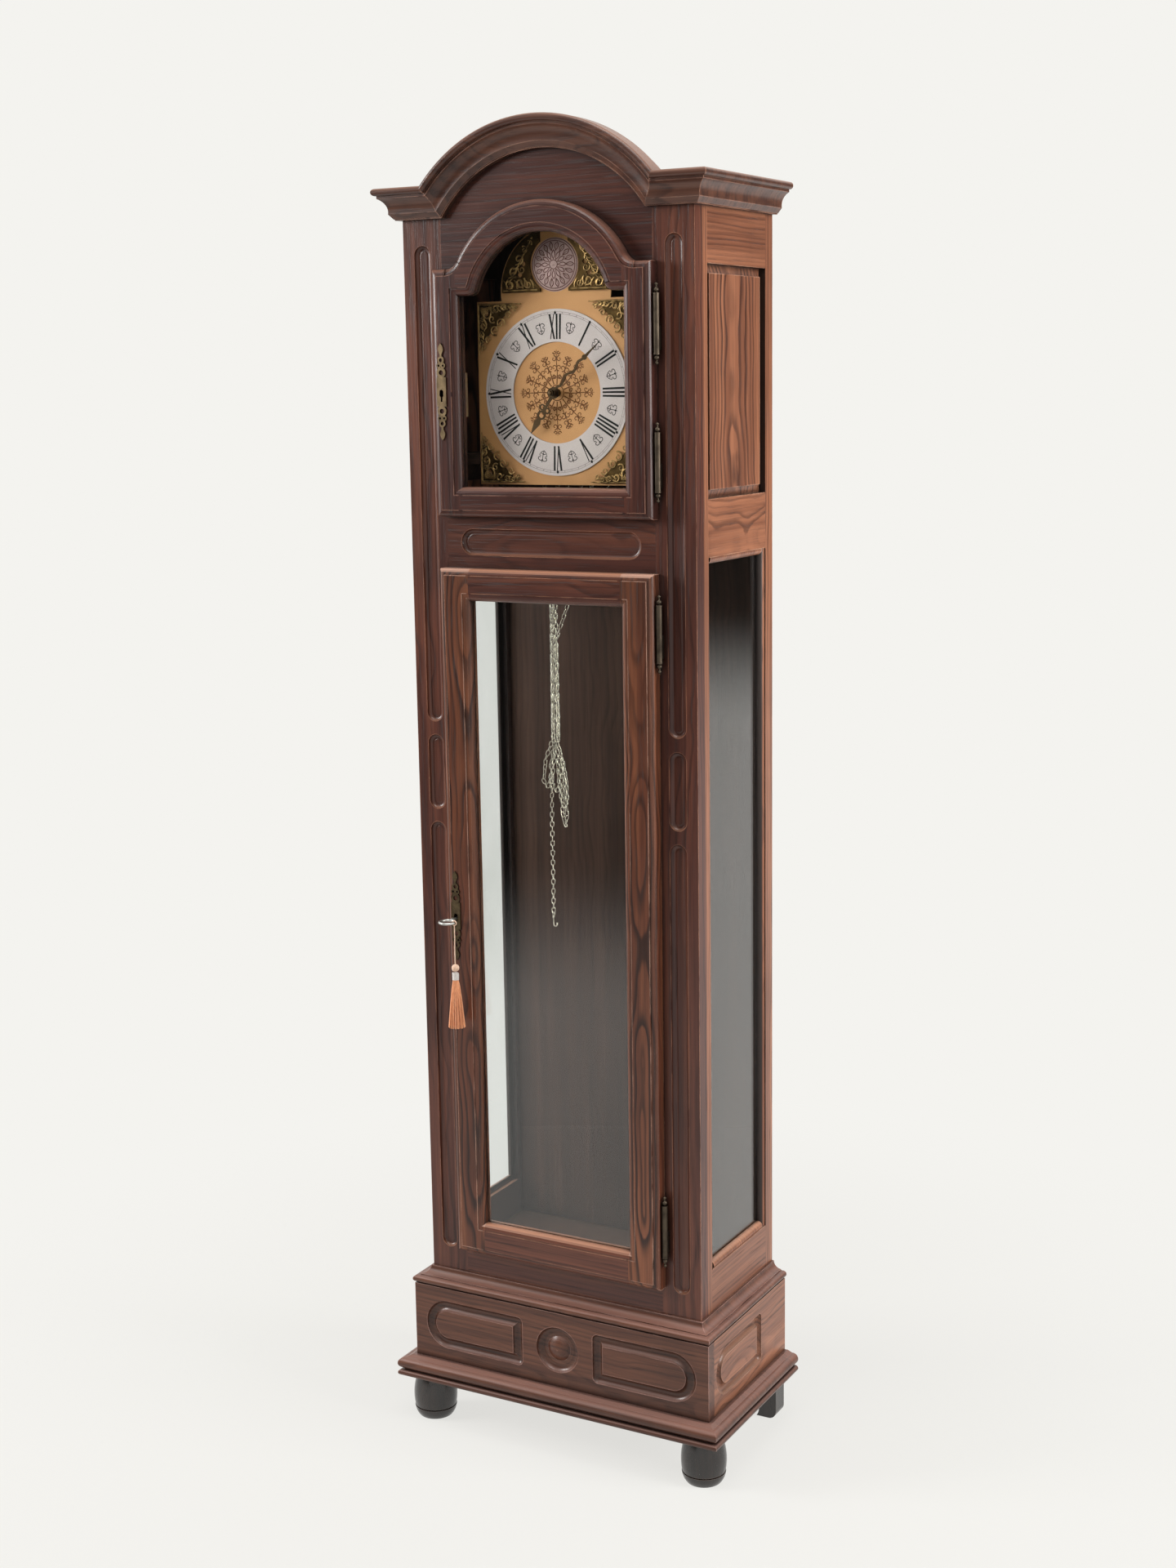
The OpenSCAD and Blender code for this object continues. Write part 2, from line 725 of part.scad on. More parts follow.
module gear_outline(teeth, mod, addendum = 0.9) {
    pitch_r = teeth * mod / 2;
    base_r = pitch_r * cos(20);
    tip_r = pitch_r + addendum * mod;
    root_r = pitch_r - 1.25 * mod;
    slack = 0.16 * mod;
    low_r = max(base_r, root_r + 0.1);
    polygon([
        for (i = [0 : teeth - 1])
            for (step = [[-1, root_r], [-1, low_r], [-1, pitch_r], [-1, tip_r],
                         [1, tip_r], [1, pitch_r], [1, low_r], [1, root_r]])
                let (a = i * 360 / teeth + step[0] * flank(step[1], teeth, pitch_r, base_r, slack))
                    [step[1] * cos(a), step[1] * sin(a)]
    ]);
}

// A gear on a shaft along the depth, with a tooth pointing at the angle given
module gear(x, z, teeth, mod, y0, y1, tooth_at, bore_r = 0) {
    translate([x, y1, z])
        rotate([90, 0, 0])
            linear_extrude(y1 - y0)
                difference() {
                    rotate(tooth_at) gear_outline(teeth, mod);
                    if (bore_r > 0) circle(bore_r);
                }
}

// Turned foot: a round toe, a thin turned line and a barrel
module bun_feet() {
    line_z = 15;
    line_t = 1.5;
    toe_curve_r = 26;
    barrel_curve_r = 90;
    widest_z = 33;
    line_in = 4;
    color(dark_oak) in_case()
        both_sides()
            translate([half_w + 3, -1, 0])
                rotate_extrude() {
                    intersection() {
                        translate([bun_r - 1 - toe_curve_r, line_z + 2]) circle(toe_curve_r);
                        square([bun_r, line_z]);
                    }
                    translate([0, line_z / 2]) square([bun_r - line_in, line_z]);
                    intersection() {
                        translate([bun_r - barrel_curve_r, widest_z]) circle(barrel_curve_r, $fn = 180);
                        translate([0, line_z + line_t]) square([bun_r + 1, foot_h - line_z - line_t]);
                    }
                }
}

// Upright board with a rounded outer heel and a hollow on its inner side
module bracket_feet() {
    foot_d = 30;
    back_gap = 4;
    heel_r = 12;
    hollow_r = 20;
    color(dark_oak) in_case()
        both_sides()
            upright(case_d - back_gap - foot_d, case_d - back_gap)
                difference() {
                    union() {
                        translate([plinth_half - rear_foot_w, 0]) square([rear_foot_w - heel_r, foot_h]);
                        translate([plinth_half - rear_foot_w, heel_r]) square([rear_foot_w, foot_h - heel_r]);
                        translate([plinth_half - heel_r, heel_r]) circle(heel_r);
                    }
                    translate([plinth_half - rear_foot_w - 6, heel_r]) circle(hollow_r);
                }
}

// Section of the base moulding, outwards from the plinth's face
module base_section() {
    inward = 41;
    lip_r = 4.5;
    quirk_h = 2;
    quirk_in = 7.5;
    nose_r = (base_h - 2 * lip_r - quirk_h - 3) / 2;
    nose_x = base_out - nose_r;
    nose_z = 2 * lip_r + quirk_h + nose_r;
    translate([-inward, 0]) square([inward + base_out - lip_r, 2 * lip_r]);
    translate([base_out - lip_r, lip_r]) circle(lip_r);
    translate([-inward, lip_r]) square([inward + base_out - quirk_in, nose_z - lip_r]);
    translate([nose_x, nose_z]) circle(nose_r);
    polygon([[-inward, nose_z - 1], [nose_x, nose_z - 1], [nose_x, nose_z + nose_r - 0.8],
             [5, base_h], [-inward, base_h]]);
}

module three_sided(face_half, face_y, depth, z, reach) {
    translate([0, face_y, z]) front_length(face_half, reach) children();
    both_sides() translate([0, face_y, z]) side_length(face_half, reach, depth - face_y) children();
}

module base_moulding() {
    color(oak) in_case() three_sided(plinth_half, -plinth_out, case_d, base_z, base_out) base_section();
}

// Section of the waist moulding, outwards from the case's face
module waist_section() {
    inward = 35;
    fillet_h = 1.5;
    lip_r = 5;
    lip_x = plinth_out - 2.5;
    lip_top = fillet_h + 2 * lip_r;
    hollow_r = waist_h - 2 * fillet_h - 2 * lip_r;
    translate([-inward, 0]) square([inward + lip_x, fillet_h + eps]);
    translate([-inward, fillet_h]) square([inward + lip_x, 2 * lip_r]);
    translate([lip_x, fillet_h + lip_r]) circle(lip_r);
    difference() {
        translate([-inward, lip_top - eps]) square([inward + hollow_r + 3, waist_h - lip_top + eps]);
        translate([hollow_r + 3, waist_h]) circle(hollow_r);
    }
}

module waist_moulding() {
    color(oak) in_case() three_sided(half_w, 0, case_d, waist_z, plinth_out + 3) waist_section();
}

module plinth_front() {
    mid_z = plinth_z + plinth_h / 2;
    lift = plinth_cutter_r - plinth_groove_depth;
    panel_w = plinth_half - plinth_panel_side - plinth_panel_in;
    ring_depth = plinth_groove_depth + 1;
    ring_lift = plinth_cutter_r - ring_depth;
    ring_track = ring_r - groove_half(plinth_cutter_r, ring_depth);
    color(oak) in_case()
        difference() {
            box([-plinth_half, -plinth_out, plinth_z], [plinth_half, -plinth_out + plinth_t, waist_z]);
            for (flip = [0, 1])
                mirror([flip, 0, 0])
                    translate([plinth_half - plinth_panel_side, -plinth_out - lift, mid_z])
                        mirror([1, 0, 0]) rounded_end_groove(panel_w, plinth_panel_h, plinth_cutter_r);
            translate([0, -plinth_out, mid_z])
                rotate([90, 0, 0])
                    rotate_extrude() {
                        translate([ring_track, ring_lift]) circle(plinth_cutter_r);
                        button_top(ring_track, ring_depth - 0.4);
                    }
        }
}

// What is cut away over the domed button in the ring
module button_top(ring_track, fall) {
    dome_r = 30;
    difference() {
        translate([0, -fall]) square([ring_track, fall + 1]);
        translate([0, -dome_r]) circle(dome_r, $fn = 96);
    }
}

module plinth_sides() {
    mid_z = plinth_z + plinth_h / 2;
    lift = plinth_cutter_r - plinth_groove_depth;
    panel_w = 155;
    color(oak_side) in_case()
        both_sides()
            difference() {
                box([plinth_half - plinth_t, -plinth_out + plinth_t, plinth_z],
                    [plinth_half, case_d, waist_z]);
                translate([plinth_half + lift, 3, mid_z])
                    rotate([0, 0, 90]) rounded_end_groove(panel_w, plinth_panel_h, plinth_cutter_r);
            }
}

// Heights of the routed panels on a front stile: lower end and height
flutes = [
    [case_z + flute_end, flute_mid_z - flute_end - flute_gap],
    [case_z + flute_mid_z, flute_mid_h],
    [case_z + flute_mid_z + flute_mid_h + flute_gap,
        cornice_z - flute_end - case_z - flute_mid_z - flute_mid_h - flute_gap]
];

module front_stiles() {
    flute_x = (door_half + half_w) / 2 - 2.5;
    lift = flute_cutter_r - groove_depth;
    color(oak) in_case()
        difference() {
            both_sides()
                difference() {
                    box([opening_half, 0, case_z], [half_w, frame_t, case_top]);
                    for (f = flutes)
                        translate([flute_x, -lift, f[0] + f[1] / 2])
                            stadium_channel(flute_w, f[1], flute_cutter_r);
                }
            for (z = concat(trunk_hinges, hood_hinges))
                box([hinge_x - leaf_t / 2 - let_in, -1, z - leaf_gap - leaf_h - let_in],
                    [hinge_x + leaf_t / 2 + let_in, case_leaf_y + let_in, z - leaf_gap + let_in]);
            for (z = [trunk_key_z, hood_key_z])
                box([-opening_half - bolt_throw - 1, bolt_y - sliding, z + bolt_up - sliding],
                    [-opening_half + 1, bolt_y + bolt_t + sliding, z + bolt_up + bolt_h + sliding]);
        }
}

module front_rails() {
    lift = flute_cutter_r - groove_depth;
    mid_z0 = trunk_door_top - door_overlap;
    mid_z1 = hood_door_z + door_overlap;
    color(oak) in_case() {
        box([-opening_half, 0, case_z], [opening_half, frame_t, trunk_door_z + door_overlap]);
        difference() {
            box([-opening_half, 0, mid_z0], [opening_half, frame_t, mid_z1]);
            translate([0, -lift, (trunk_door_top + hood_door_z) / 2])
                rotate([0, 90, 0]) stadium_channel(rail_flute_h, 2 * (door_half - 27), flute_cutter_r);
        }
    }
}

module frieze_board() {
    color(oak) in_case()
        upright(0, frame_t)
            difference() {
                union() {
                    translate([-opening_half, hood_shoulder_z - door_overlap])
                        square([2 * opening_half, case_top - hood_shoulder_z + door_overlap]);
                    intersection() {
                        translate([0, pediment_z]) circle(pediment_r, $fn = 96);
                        translate([-case_w, case_top]) square([2 * case_w, case_w]);
                    }
                }
                translate([0, hood_arch_z]) circle(hood_arch_r - door_overlap, $fn = 96);
            }
}

// The slot that holds the glass and the panel in a side frame
module side_slot(y0, y1, z0, z1) {
    in = side_slot_in + let_in;
    box([side_slot_x - let_in, y0 - in, z0 - in], [side_slot_x + side_slot_t + let_in, y1 + in, z1 + in]);
}

module side_slots() {
    side_slot(side_y0, side_y1, side_z0, side_z1);
    side_slot(side_y0, side_y1, side_z2, side_z3);
}

module side_stiles() {
    color(oak_side) in_case()
        both_sides()
            difference() {
                union() {
                    box([inner_w, frame_t, case_z], [half_w, side_y0, case_top]);
                    box([inner_w, side_y1, case_z], [half_w, case_d, case_top]);
                }
                side_slots();
            }
}

module side_rails() {
    color(oak_side) in_case()
        both_sides()
            difference() {
                union() {
                    box([inner_w, side_y0, case_z], [half_w, side_y1, side_z0]);
                    box([inner_w, side_y0, side_z1], [half_w, side_y1, side_z2]);
                    box([inner_w, side_y0, side_z3], [half_w, side_y1, case_top]);
                }
                side_slots();
            }
}

// Raised panel: a tongue in the frame's slot, a bevel and the raised field
module side_panels() {
    tongue = side_slot_in - 0.5;
    field_x = half_w - 3;
    board_x = side_slot_x + side_slot_t;
    lip = 0.6;
    mid_y = (side_y0 + side_y1) / 2;
    panel_half = (side_y1 - side_y0) / 2;
    color(oak_side) in_case()
        both_sides() {
            box([side_slot_x, side_y0 - tongue, side_z2 - tongue],
                [side_slot_x + side_slot_t, side_y1 + tongue, side_z3 + tongue]);
            translate([0, mid_y, 0])
                rotate([0, 0, 90])
                    framed_block(panel_half, side_z2, side_z3, -field_x, -board_x + eps)
                        polygon([
                            [-panel_bevel - 4, -board_x + eps], [-1, -board_x + eps],
                            [-1, -board_x - lip], [-panel_bevel, -field_x + 1],
                            [-panel_bevel, -field_x], [-panel_bevel - 4, -field_x]
                        ]);
        }
}

module side_glass() {
    tongue = side_slot_in - 0.5;
    color(clear_glass) in_case()
        both_sides()
            box([side_slot_x, side_y0 - tongue, side_z0 - tongue],
                [side_slot_x + side_slot_t, side_y1 + tongue, side_z1 + tongue]);
}

// Section of a bead: two flat sides and a rounded corner
module bead_section(w, d) {
    round_r = min(w, d) - 1.5;
    intersection() {
        square([w, d]);
        union() {
            square([w, d - round_r]);
            square([w - round_r, d]);
            translate([w - round_r, d - round_r]) circle(round_r);
        }
    }
}

module side_glass_beads() {
    bead_d = half_w - 1.5 - side_slot_x - side_slot_t;
    x0 = side_slot_x + side_slot_t;
    color(oak_side) in_case()
        both_sides() {
            translate([x0, side_y0, side_z0])
                linear_extrude(side_z1 - side_z0) rotate(90) mirror([0, 1]) bead_section(side_bead_w, bead_d);
            translate([x0, side_y1, side_z0])
                linear_extrude(side_z1 - side_z0) rotate(-90) bead_section(side_bead_w, bead_d);
            translate([x0, side_y1 - side_bead_w, side_z0])
                rotate([90, 0, 0])
                    linear_extrude(side_y1 - side_y0 - 2 * side_bead_w)
                        rotate(90) mirror([0, 1]) bead_section(side_bead_w, bead_d);
            translate([x0, side_y1 - side_bead_w, side_z1])
                rotate([90, 0, 0])
                    linear_extrude(side_y1 - side_y0 - 2 * side_bead_w)
                        rotate(-90) bead_section(side_bead_w, bead_d);
        }
}

module back_panel() {
    color(board) in_case() box([-inner_w, back_front, case_z], [inner_w, back_front + back_t, case_top]);
}

module trunk_floor() {
    color(board) in_case() box([-inner_w, frame_t, case_z], [inner_w, back_front, case_z + board_t]);
}

module top_board() {
    color(board) in_case()
        box([-inner_w, frame_t, case_top - board_t], [inner_w, back_front, case_top]);
}

// Section of the cornice, outwards from the case and up
module cornice_section() {
    nose_r = 5;
    bead_h = 8;
    hollow_r = cornice_h - bead_h - 2 * nose_r - 5.3;
    hollow_out = cornice_out + 2;
    difference() {
        square([cornice_out - 6, cornice_h - nose_r]);
        translate([hollow_out, bead_h + 3.5]) circle(hollow_r, $fn = 64);
        translate([7.6, -1]) square([cornice_out, 1.5 + 1]);
        polygon([[8.6, 1.4], [cornice_out, 1.4], [cornice_out, bead_h + 3.5], [14.5, bead_h + 0.5]]);
    }
    translate([0, cornice_h - 2 * nose_r]) square([cornice_out - nose_r, 2 * nose_r]);
    translate([cornice_out - nose_r, cornice_h - nose_r]) circle(nose_r);
}

// Where the arched cornice meets a straight length, on the right-hand side
function arch_meet(radius, z) = sqrt(radius * radius - pow(z - pediment_z, 2));

module arch_mitre() {
    low_x = arch_meet(cornice_arch_r, cornice_z);
    high_x = arch_meet(cornice_arch_r + cornice_h, cornice_top);
    slope = (high_x - low_x) / cornice_h;
    polygon([
        [low_x - 10 * slope, cornice_z - 10], [high_x + 10 * slope, cornice_top + 10],
        [case_w, cornice_top + 10], [case_w, cornice_z - 10]
    ]);
}

module cornice_arch() {
    arch_top = pediment_z + cornice_arch_r + cornice_h + 20;
    low_x = arch_meet(cornice_arch_r, cornice_z);
    high_x = arch_meet(cornice_arch_r + cornice_h, cornice_top);
    color(oak) in_case()
        intersection() {
            translate([0, 0, pediment_z])
                rotate([90, 0, 0])
                    rotate_extrude($fn = 96)
                        translate([cornice_arch_r, 0]) rotate(90) mirror([0, 1]) cornice_section();
            upright(-cornice_out - 1, 1)
                polygon([
                    [-low_x, cornice_z], [-high_x, cornice_top], [-case_w, cornice_top], [-case_w, arch_top],
                    [case_w, arch_top], [case_w, cornice_top], [high_x, cornice_top], [low_x, cornice_z]
                ]);
        }
}

module cornice_straights() {
    color(oak) in_case() {
        both_sides()
            intersection() {
                translate([0, 0, cornice_z]) front_length(half_w, cornice_out) cornice_section();
                upright(-cornice_out - 1, 1) arch_mitre();
            }
        both_sides() translate([0, 0, cornice_z]) side_length(half_w, cornice_out, case_d) cornice_section();
    }
}

module hood_door_stiles() {
    color(oak) in_case()
        intersection() {
            hood_door_body();
            both_sides()
                box([hood_joint_x, door_front - 1, hood_door_z - 1],
                    [door_half + 1, door_back + 1, case_top]);
        }
}

module hood_door_sill() {
    color(oak) in_case()
        intersection() {
            hood_door_body();
            box([-hood_joint_x, door_front - 1, hood_door_z - 1], [hood_joint_x, door_back + 1, dial_z]);
        }
}

module hood_door_head() {
    color(oak) in_case()
        intersection() {
            hood_door_body();
            box([-hood_joint_x, door_front - 1, dial_z], [hood_joint_x, door_back + 1, cornice_top]);
        }
}

module hood_glass() {
    color(clear_glass) in_case() upright(glass_front, glass_back) hood_pane_outline(rebate);
}

module hood_glass_beads() {
    color(oak) in_case()
        upright(glass_back, door_back)
            difference() {
                hood_pane_outline(rebate);
                hood_pane_outline(0);
            }
}

module trunk_door_stiles() {
    color(oak) in_case()
        intersection() {
            trunk_door_body();
            both_sides()
                box([trunk_glass_half, door_front - 1, case_z], [door_half + 1, door_back + 1, cornice_z]);
        }
}

module trunk_door_rails() {
    color(oak) in_case()
        intersection() {
            trunk_door_body();
            box([-trunk_glass_half, door_front - 1, case_z], [trunk_glass_half, door_back + 1, cornice_z]);
        }
}

module trunk_glass() {
    color(clear_glass) in_case() upright(glass_front, glass_back) trunk_pane_outline(rebate);
}

module trunk_glass_beads() {
    mid_z = (trunk_glass_z0 + trunk_glass_z1) / 2;
    long = trunk_glass_z1 - trunk_glass_z0 + 2 * rebate;
    color(oak) in_case() {
        both_sides()
            box([trunk_glass_half, glass_back, mid_z - long / 2],
                [trunk_glass_half + rebate, door_back, mid_z + long / 2]);
        for (z = [trunk_glass_z0 - rebate, trunk_glass_z1])
            box([-trunk_glass_half, glass_back, z], [trunk_glass_half, door_back, z + rebate]);
    }
}

// Pierced escutcheon: a plain middle with the keyhole, scrolls and tulip tips
module escutcheon(key_z) {
    plain_h = 40;
    ring_o = escutcheon_w / 2 - 0.3;
    end_h = (escutcheon_h - plain_h) / 2;
    y0 = door_front - escutcheon_t;
    difference() {
        box([-keyhole_x - escutcheon_w / 2, y0, key_z + keyhole_rise - plain_h / 2],
            [-keyhole_x + escutcheon_w / 2, door_front, key_z + keyhole_rise + plain_h / 2]);
        upright(y0 - 1, door_front + 1) keyhole_outline(key_z, 0);
    }
    for (flip = [0, 1])
        translate([-keyhole_x, 0, key_z + keyhole_rise])
            mirror([0, 0, flip])
                translate([0, 0, plain_h / 2]) {
                    pierced_ring(0, ring_o - 1, ring_o, 3.4, y0);
                    for (side = [-1, 1]) pierced_ring(side * 3.4, ring_o * 2 + 1.4, 3.6, 1.7, y0);
                    pierced_ring(0, ring_o * 2 + 8.6, 5.2, 2.6, y0);
                    upright(y0, door_front)
                        polygon([
                            [-1.6, ring_o * 2 + 12], [1.6, ring_o * 2 + 12], [1.6, end_h - 15],
                            [4.4, end_h - 9], [3, end_h - 4], [0, end_h], [-3, end_h - 4],
                            [-4.4, end_h - 9], [-1.6, end_h - 15]
                        ]);
                }
}

module pierced_ring(x, z, outer, inner, y0, depth = escutcheon_t) {
    upright(y0, y0 + depth)
        translate([x, z])
            difference() {
                circle(outer);
                circle(inner);
            }
}

module hood_escutcheon() {
    color(bronze) in_case() escutcheon(hood_key_z);
}

module trunk_escutcheon() {
    color(bronze) in_case() escutcheon(trunk_key_z);
}

// Lock let on to the inside of a door: a hollow case with a slot for its bolt
module lock_case(key_z) {
    low = [lock_x0, door_back, key_z - lock_h / 2];
    high = low + [lock_w, lock_d, lock_h];
    wall = lock_wall * [1, 1, 1];
    difference() {
        box(low, high);
        box(low + wall, high - wall);
        box([lock_x0 - 1, bolt_y - sliding, key_z + bolt_up - sliding],
            [lock_x0 + lock_wall + 1, bolt_y + bolt_t + sliding, key_z + bolt_up + bolt_h + sliding]);
        upright(door_back - 1, door_back + lock_wall + 1) keyhole_outline(key_z, 0);
    }
}

module lock_bolt(key_z) {
    box([lock_x0, bolt_y, key_z + bolt_up], [lock_x0 + bolt_len, bolt_y + bolt_t, key_z + bolt_up + bolt_h]);
}

module hood_lock() {
    color(steel) in_case() lock_case(hood_key_z);
}

module hood_bolt() {
    color(brass) in_case() lock_bolt(hood_key_z);
}

module trunk_lock() {
    color(steel) in_case() lock_case(trunk_key_z);
}

module trunk_bolt() {
    color(brass) in_case() lock_bolt(trunk_key_z);
}

// Turned finial at the end of a hinge's barrel
module finial() {
    rotate_extrude() {
        square([barrel_r + 0.2, 2]);
        square([2, 6]);
        translate([0, 6]) intersection() {
            circle(3.6);
            translate([0, -4]) square([4, 8]);
        }
        square([1.5, 12]);
        translate([0, 13]) intersection() {
            circle(2.5);
            translate([0, -3]) square([3, 6]);
        }
    }
}

// Lower half of a hinge, on the case: knuckle, pin, finial and leaf
module case_hinge_halves() {
    pin_up = barrel_len / 2 - 6;
    color(bronze) in_case()
        for (z = concat(trunk_hinges, hood_hinges)) {
            translate([hinge_x, hinge_y, z]) {
                translate([0, 0, -barrel_len / 2]) cylinder(r = barrel_r, h = barrel_len / 2);
                translate([0, 0, -1]) cylinder(r = pin_r, h = pin_up + 1);
                translate([0, 0, -barrel_len / 2]) mirror([0, 0, 1]) finial();
            }
            box([hinge_x - leaf_t / 2, hinge_y, z - leaf_gap - leaf_h],
                [hinge_x + leaf_t / 2, case_leaf_y, z - leaf_gap]);
        }
}

// Upper half of a hinge, on a door: bored knuckle, finial and leaf
module door_hinge_halves(hinges) {
    bore_up = barrel_len / 2 - 5;
    for (z = hinges)
        difference() {
            union() {
                translate([hinge_x, hinge_y, z]) {
                    cylinder(r = barrel_r, h = barrel_len / 2);
                    translate([0, 0, barrel_len / 2]) finial();
                }
                box([door_half - door_leaf_in, hinge_y - leaf_t / 2, z + leaf_gap],
                    [hinge_x, hinge_y + leaf_t / 2, z + leaf_gap + leaf_h]);
            }
            translate([hinge_x, hinge_y, z - 1]) cylinder(r = pin_r + running, h = bore_up + 1);
        }
}

module hood_hinge_halves() {
    color(bronze) in_case() door_hinge_halves(hood_hinges);
}

module trunk_hinge_halves() {
    color(bronze) in_case() door_hinge_halves(trunk_hinges);
}

module door_key() {
    color(steel) in_case() {
        translate([-keyhole_x, bow_y, trunk_key_z])
            rotate_extrude() translate([bow_mean_r, 0]) circle(bow_wire_r);
        shaft(-keyhole_x, trunk_key_z, shank_r, bow_y + bow_mean_r, door_back + lock_d - lock_wall - 1);
        shaft(-keyhole_x, trunk_key_z, shank_r + 0.9, bow_y + bow_r - 0.5, bow_y + bow_r + 2);
        box([-keyhole_x, door_back + 3, trunk_key_z - bit_t / 2],
            [-keyhole_x + bit_r, door_back + 9, trunk_key_z + bit_t / 2]);
    }
}

// Cord of the tassel, hung in a loop round the bow's rim.
// Points of its run, below the loop.
tassel_route = [
    [0, 0, -loop_r], [0.3, 0, -14], [0.2, 0, -24], [-0.2, 0, -36], [-0.2, 0, -48], [0, 0, -tassel_cord_len]
];

module tassel_cord() {
    color(peach) in_case()
        translate([tassel_x, bow_y, trunk_key_z]) {
            rotate([90, 0, 0]) rotate_extrude($fn = 24) translate([loop_r, 0]) circle(cord_r, $fn = 16);
            tube(tassel_route, cord_r, 3);
        }
}

// Eight-sided tube along a run of points, with rings between them
function unit(v) = v / norm(v);

module tube(points, r, rings_between = 1) {
    sides = 8;
    run = [
        for (i = [0 : len(points) - 2])
            for (k = [0 : rings_between - 1])
                points[i] + (points[i + 1] - points[i]) * k / rings_between,
        points[len(points) - 1]
    ];
    last = len(run) - 1;
    verts = [
        for (i = [0 : last])
            let (along = unit(run[min(i + 1, last)] - run[max(i - 1, 0)]))
                let (across = unit(cross([0, 1, 0], along)))
                    for (s = [0 : sides - 1])
                        run[i] + r * (cos(s * 45) * across + sin(s * 45) * cross(along, across))
    ];
    walls = [
        for (i = [0 : last - 1])
            for (s = [0 : sides - 1])
                let (a = i * sides + s, b = i * sides + (s + 1) % sides)
                    for (half = [0, 1]) half == 0 ? [a, a + sides, b] : [b, a + sides, b + sides]
    ];
    start = [for (s = [1 : sides - 2]) [0, s, s + 1]];
    end = [for (s = [1 : sides - 2]) [last * sides, last * sides + s + 1, last * sides + s]];
    polyhedron(points = verts, faces = concat(walls, start, end));
}

module tassel() {
    skirt_z = -bead_r - 1 - band_h;
    color(peach) in_case()
        translate([tassel_x, bow_y, bead_z]) {
            sphere(bead_r);
            translate([0, 0, skirt_z]) cylinder(r = band_r, h = band_h);
            translate([0, 0, -bead_r - 2]) cylinder(r = 2, h = 3);
            rotate_extrude()
                polygon([
                    [0, skirt_z + 1], [band_r - 1, skirt_z + 1], [band_r + 0.5, skirt_z - 1],
                    [skirt_r * 0.8, skirt_z - skirt_len * 0.7], [skirt_r, skirt_z - skirt_len],
                    [0, skirt_z - skirt_len]
                ]);
        }
}

module dial_plate() {
    color(gold) in_case()
        upright(dial_back, dial_back + dial_t)
            difference() {
                union() {
                    translate([-dial_w / 2, dial_z - dial_w / 2]) square(dial_w);
                    translate([0, dial_z + dial_arch_up]) circle(dial_arch_r, $fn = 96);
                }
                translate([0, dial_z]) circle(hour_pipe_r + 1.4);
            }
}

module chapter_ring() {
    color(silvered) in_case()
        upright(dial_back - ring_t, dial_back)
            translate([0, dial_z])
                difference() {
                    circle(chapter_r, $fn = 96);
                    circle(chapter_in, $fn = 96);
                }
}

// Cast ornaments in the dial's corners and on both sides of the boss
module spandrels() {
    leg = 54;
    margin = 3;
    corner = dial_w / 2 - margin;
    color(bronze) in_case() {
        upright(dial_back - spandrel_t, dial_back)
            translate([0, dial_z])
                for (turn = [0 : 90 : 270])
                    rotate(turn)
                        difference() {
                            polygon([[corner, corner], [corner - leg, corner], [corner - leg + 4, corner - 8],
                                [corner - 8, corner - leg + 4], [corner, corner - leg]]);
                            circle(chapter_r + 2.5, $fn = 96);
                            translate([corner - 13, corner - 13]) circle(4);
                            for (side = [0, 1])
                                rotate(45) mirror([0, side]) rotate(-45)
                                    translate([corner - 6, corner - 30]) circle(2.2);
                        }
        upright(dial_back - spandrel_t, dial_back)
            both_arch_spandrels(margin);
    }
}

module both_arch_spandrels(margin) {
    for (flip = [0, 1])
        mirror([flip, 0])
            difference() {
                intersection() {
                    translate([0, dial_z + dial_arch_up]) circle(dial_arch_r - margin, $fn = 96);
                    translate([22, dial_z + dial_arch_up - 2]) square([dial_arch_r, dial_arch_r]);
                }
                translate([0, dial_z + boss_up]) circle(boss_r + 2, $fn = 96);
                for (hole = [[44, 11, 4], [58, 9, 4], [54, 24, 4], [48, 38, 3.4], [70, 7, 3]])
                    translate([hole[0], dial_z + dial_arch_up - 2 + hole[1]]) circle(hole[2]);
            }
}

module arch_boss() {
    dome_r = (boss_r * boss_r + boss_t * boss_t) / (2 * boss_t);
    color(silvered) in_case()
        translate([0, dial_back, dial_z + boss_up])
            rotate([90, 0, 0])
                rotate_extrude($fn = 96)
                    intersection() {
                        square([boss_r, boss_t]);
                        translate([0, boss_t - dome_r]) circle(dome_r, $fn = 256);
                    }
}

// Hands: each is drawn pointing up, and turned to the time shown
hour_hand_y = dial_back - 10;
minute_hand_y = dial_back - 16;
hand_t = 1.4;

module hour_hand() {
    y0 = hour_hand_y;
    color(bronze) in_case()
        translate([0, 0, dial_z])
            rotate([0, hour_turn, 0])
                difference() {
                    union() {
                        shaft(0, 0, 8, y0, y0 + hand_t);
                        upright(y0, y0 + hand_t) polygon([[-2.4, 0], [-1.6, 31], [1.6, 31], [2.4, 0]]);
                        for (side = [-1, 1]) pierced_ring(side * 4.6, 26, 4.4, 2.4, y0, hand_t);
                        pierced_ring(0, 36, 6.5, 3.8, y0, hand_t);
                        upright(y0, y0 + hand_t)
                            polygon([[-2, 41], [-5, 48], [0, hour_hand_len], [5, 48], [2, 41]]);
                    }
                    shaft(0, 0, hour_seat_r, y0 - 1, y0 + hand_t + 1);
                }
}

// Half-width and sideways swing of the minute hand, along its length
function minute_wave(s) = s < 12 || s > 66 ? 0 : 2.4 * sin((s - 12) * 360 / 27);
function minute_half(s) = s > 70 ? max(0.3, 2.2 * (minute_hand_len - s) / (minute_hand_len - 70)) : 1.7;

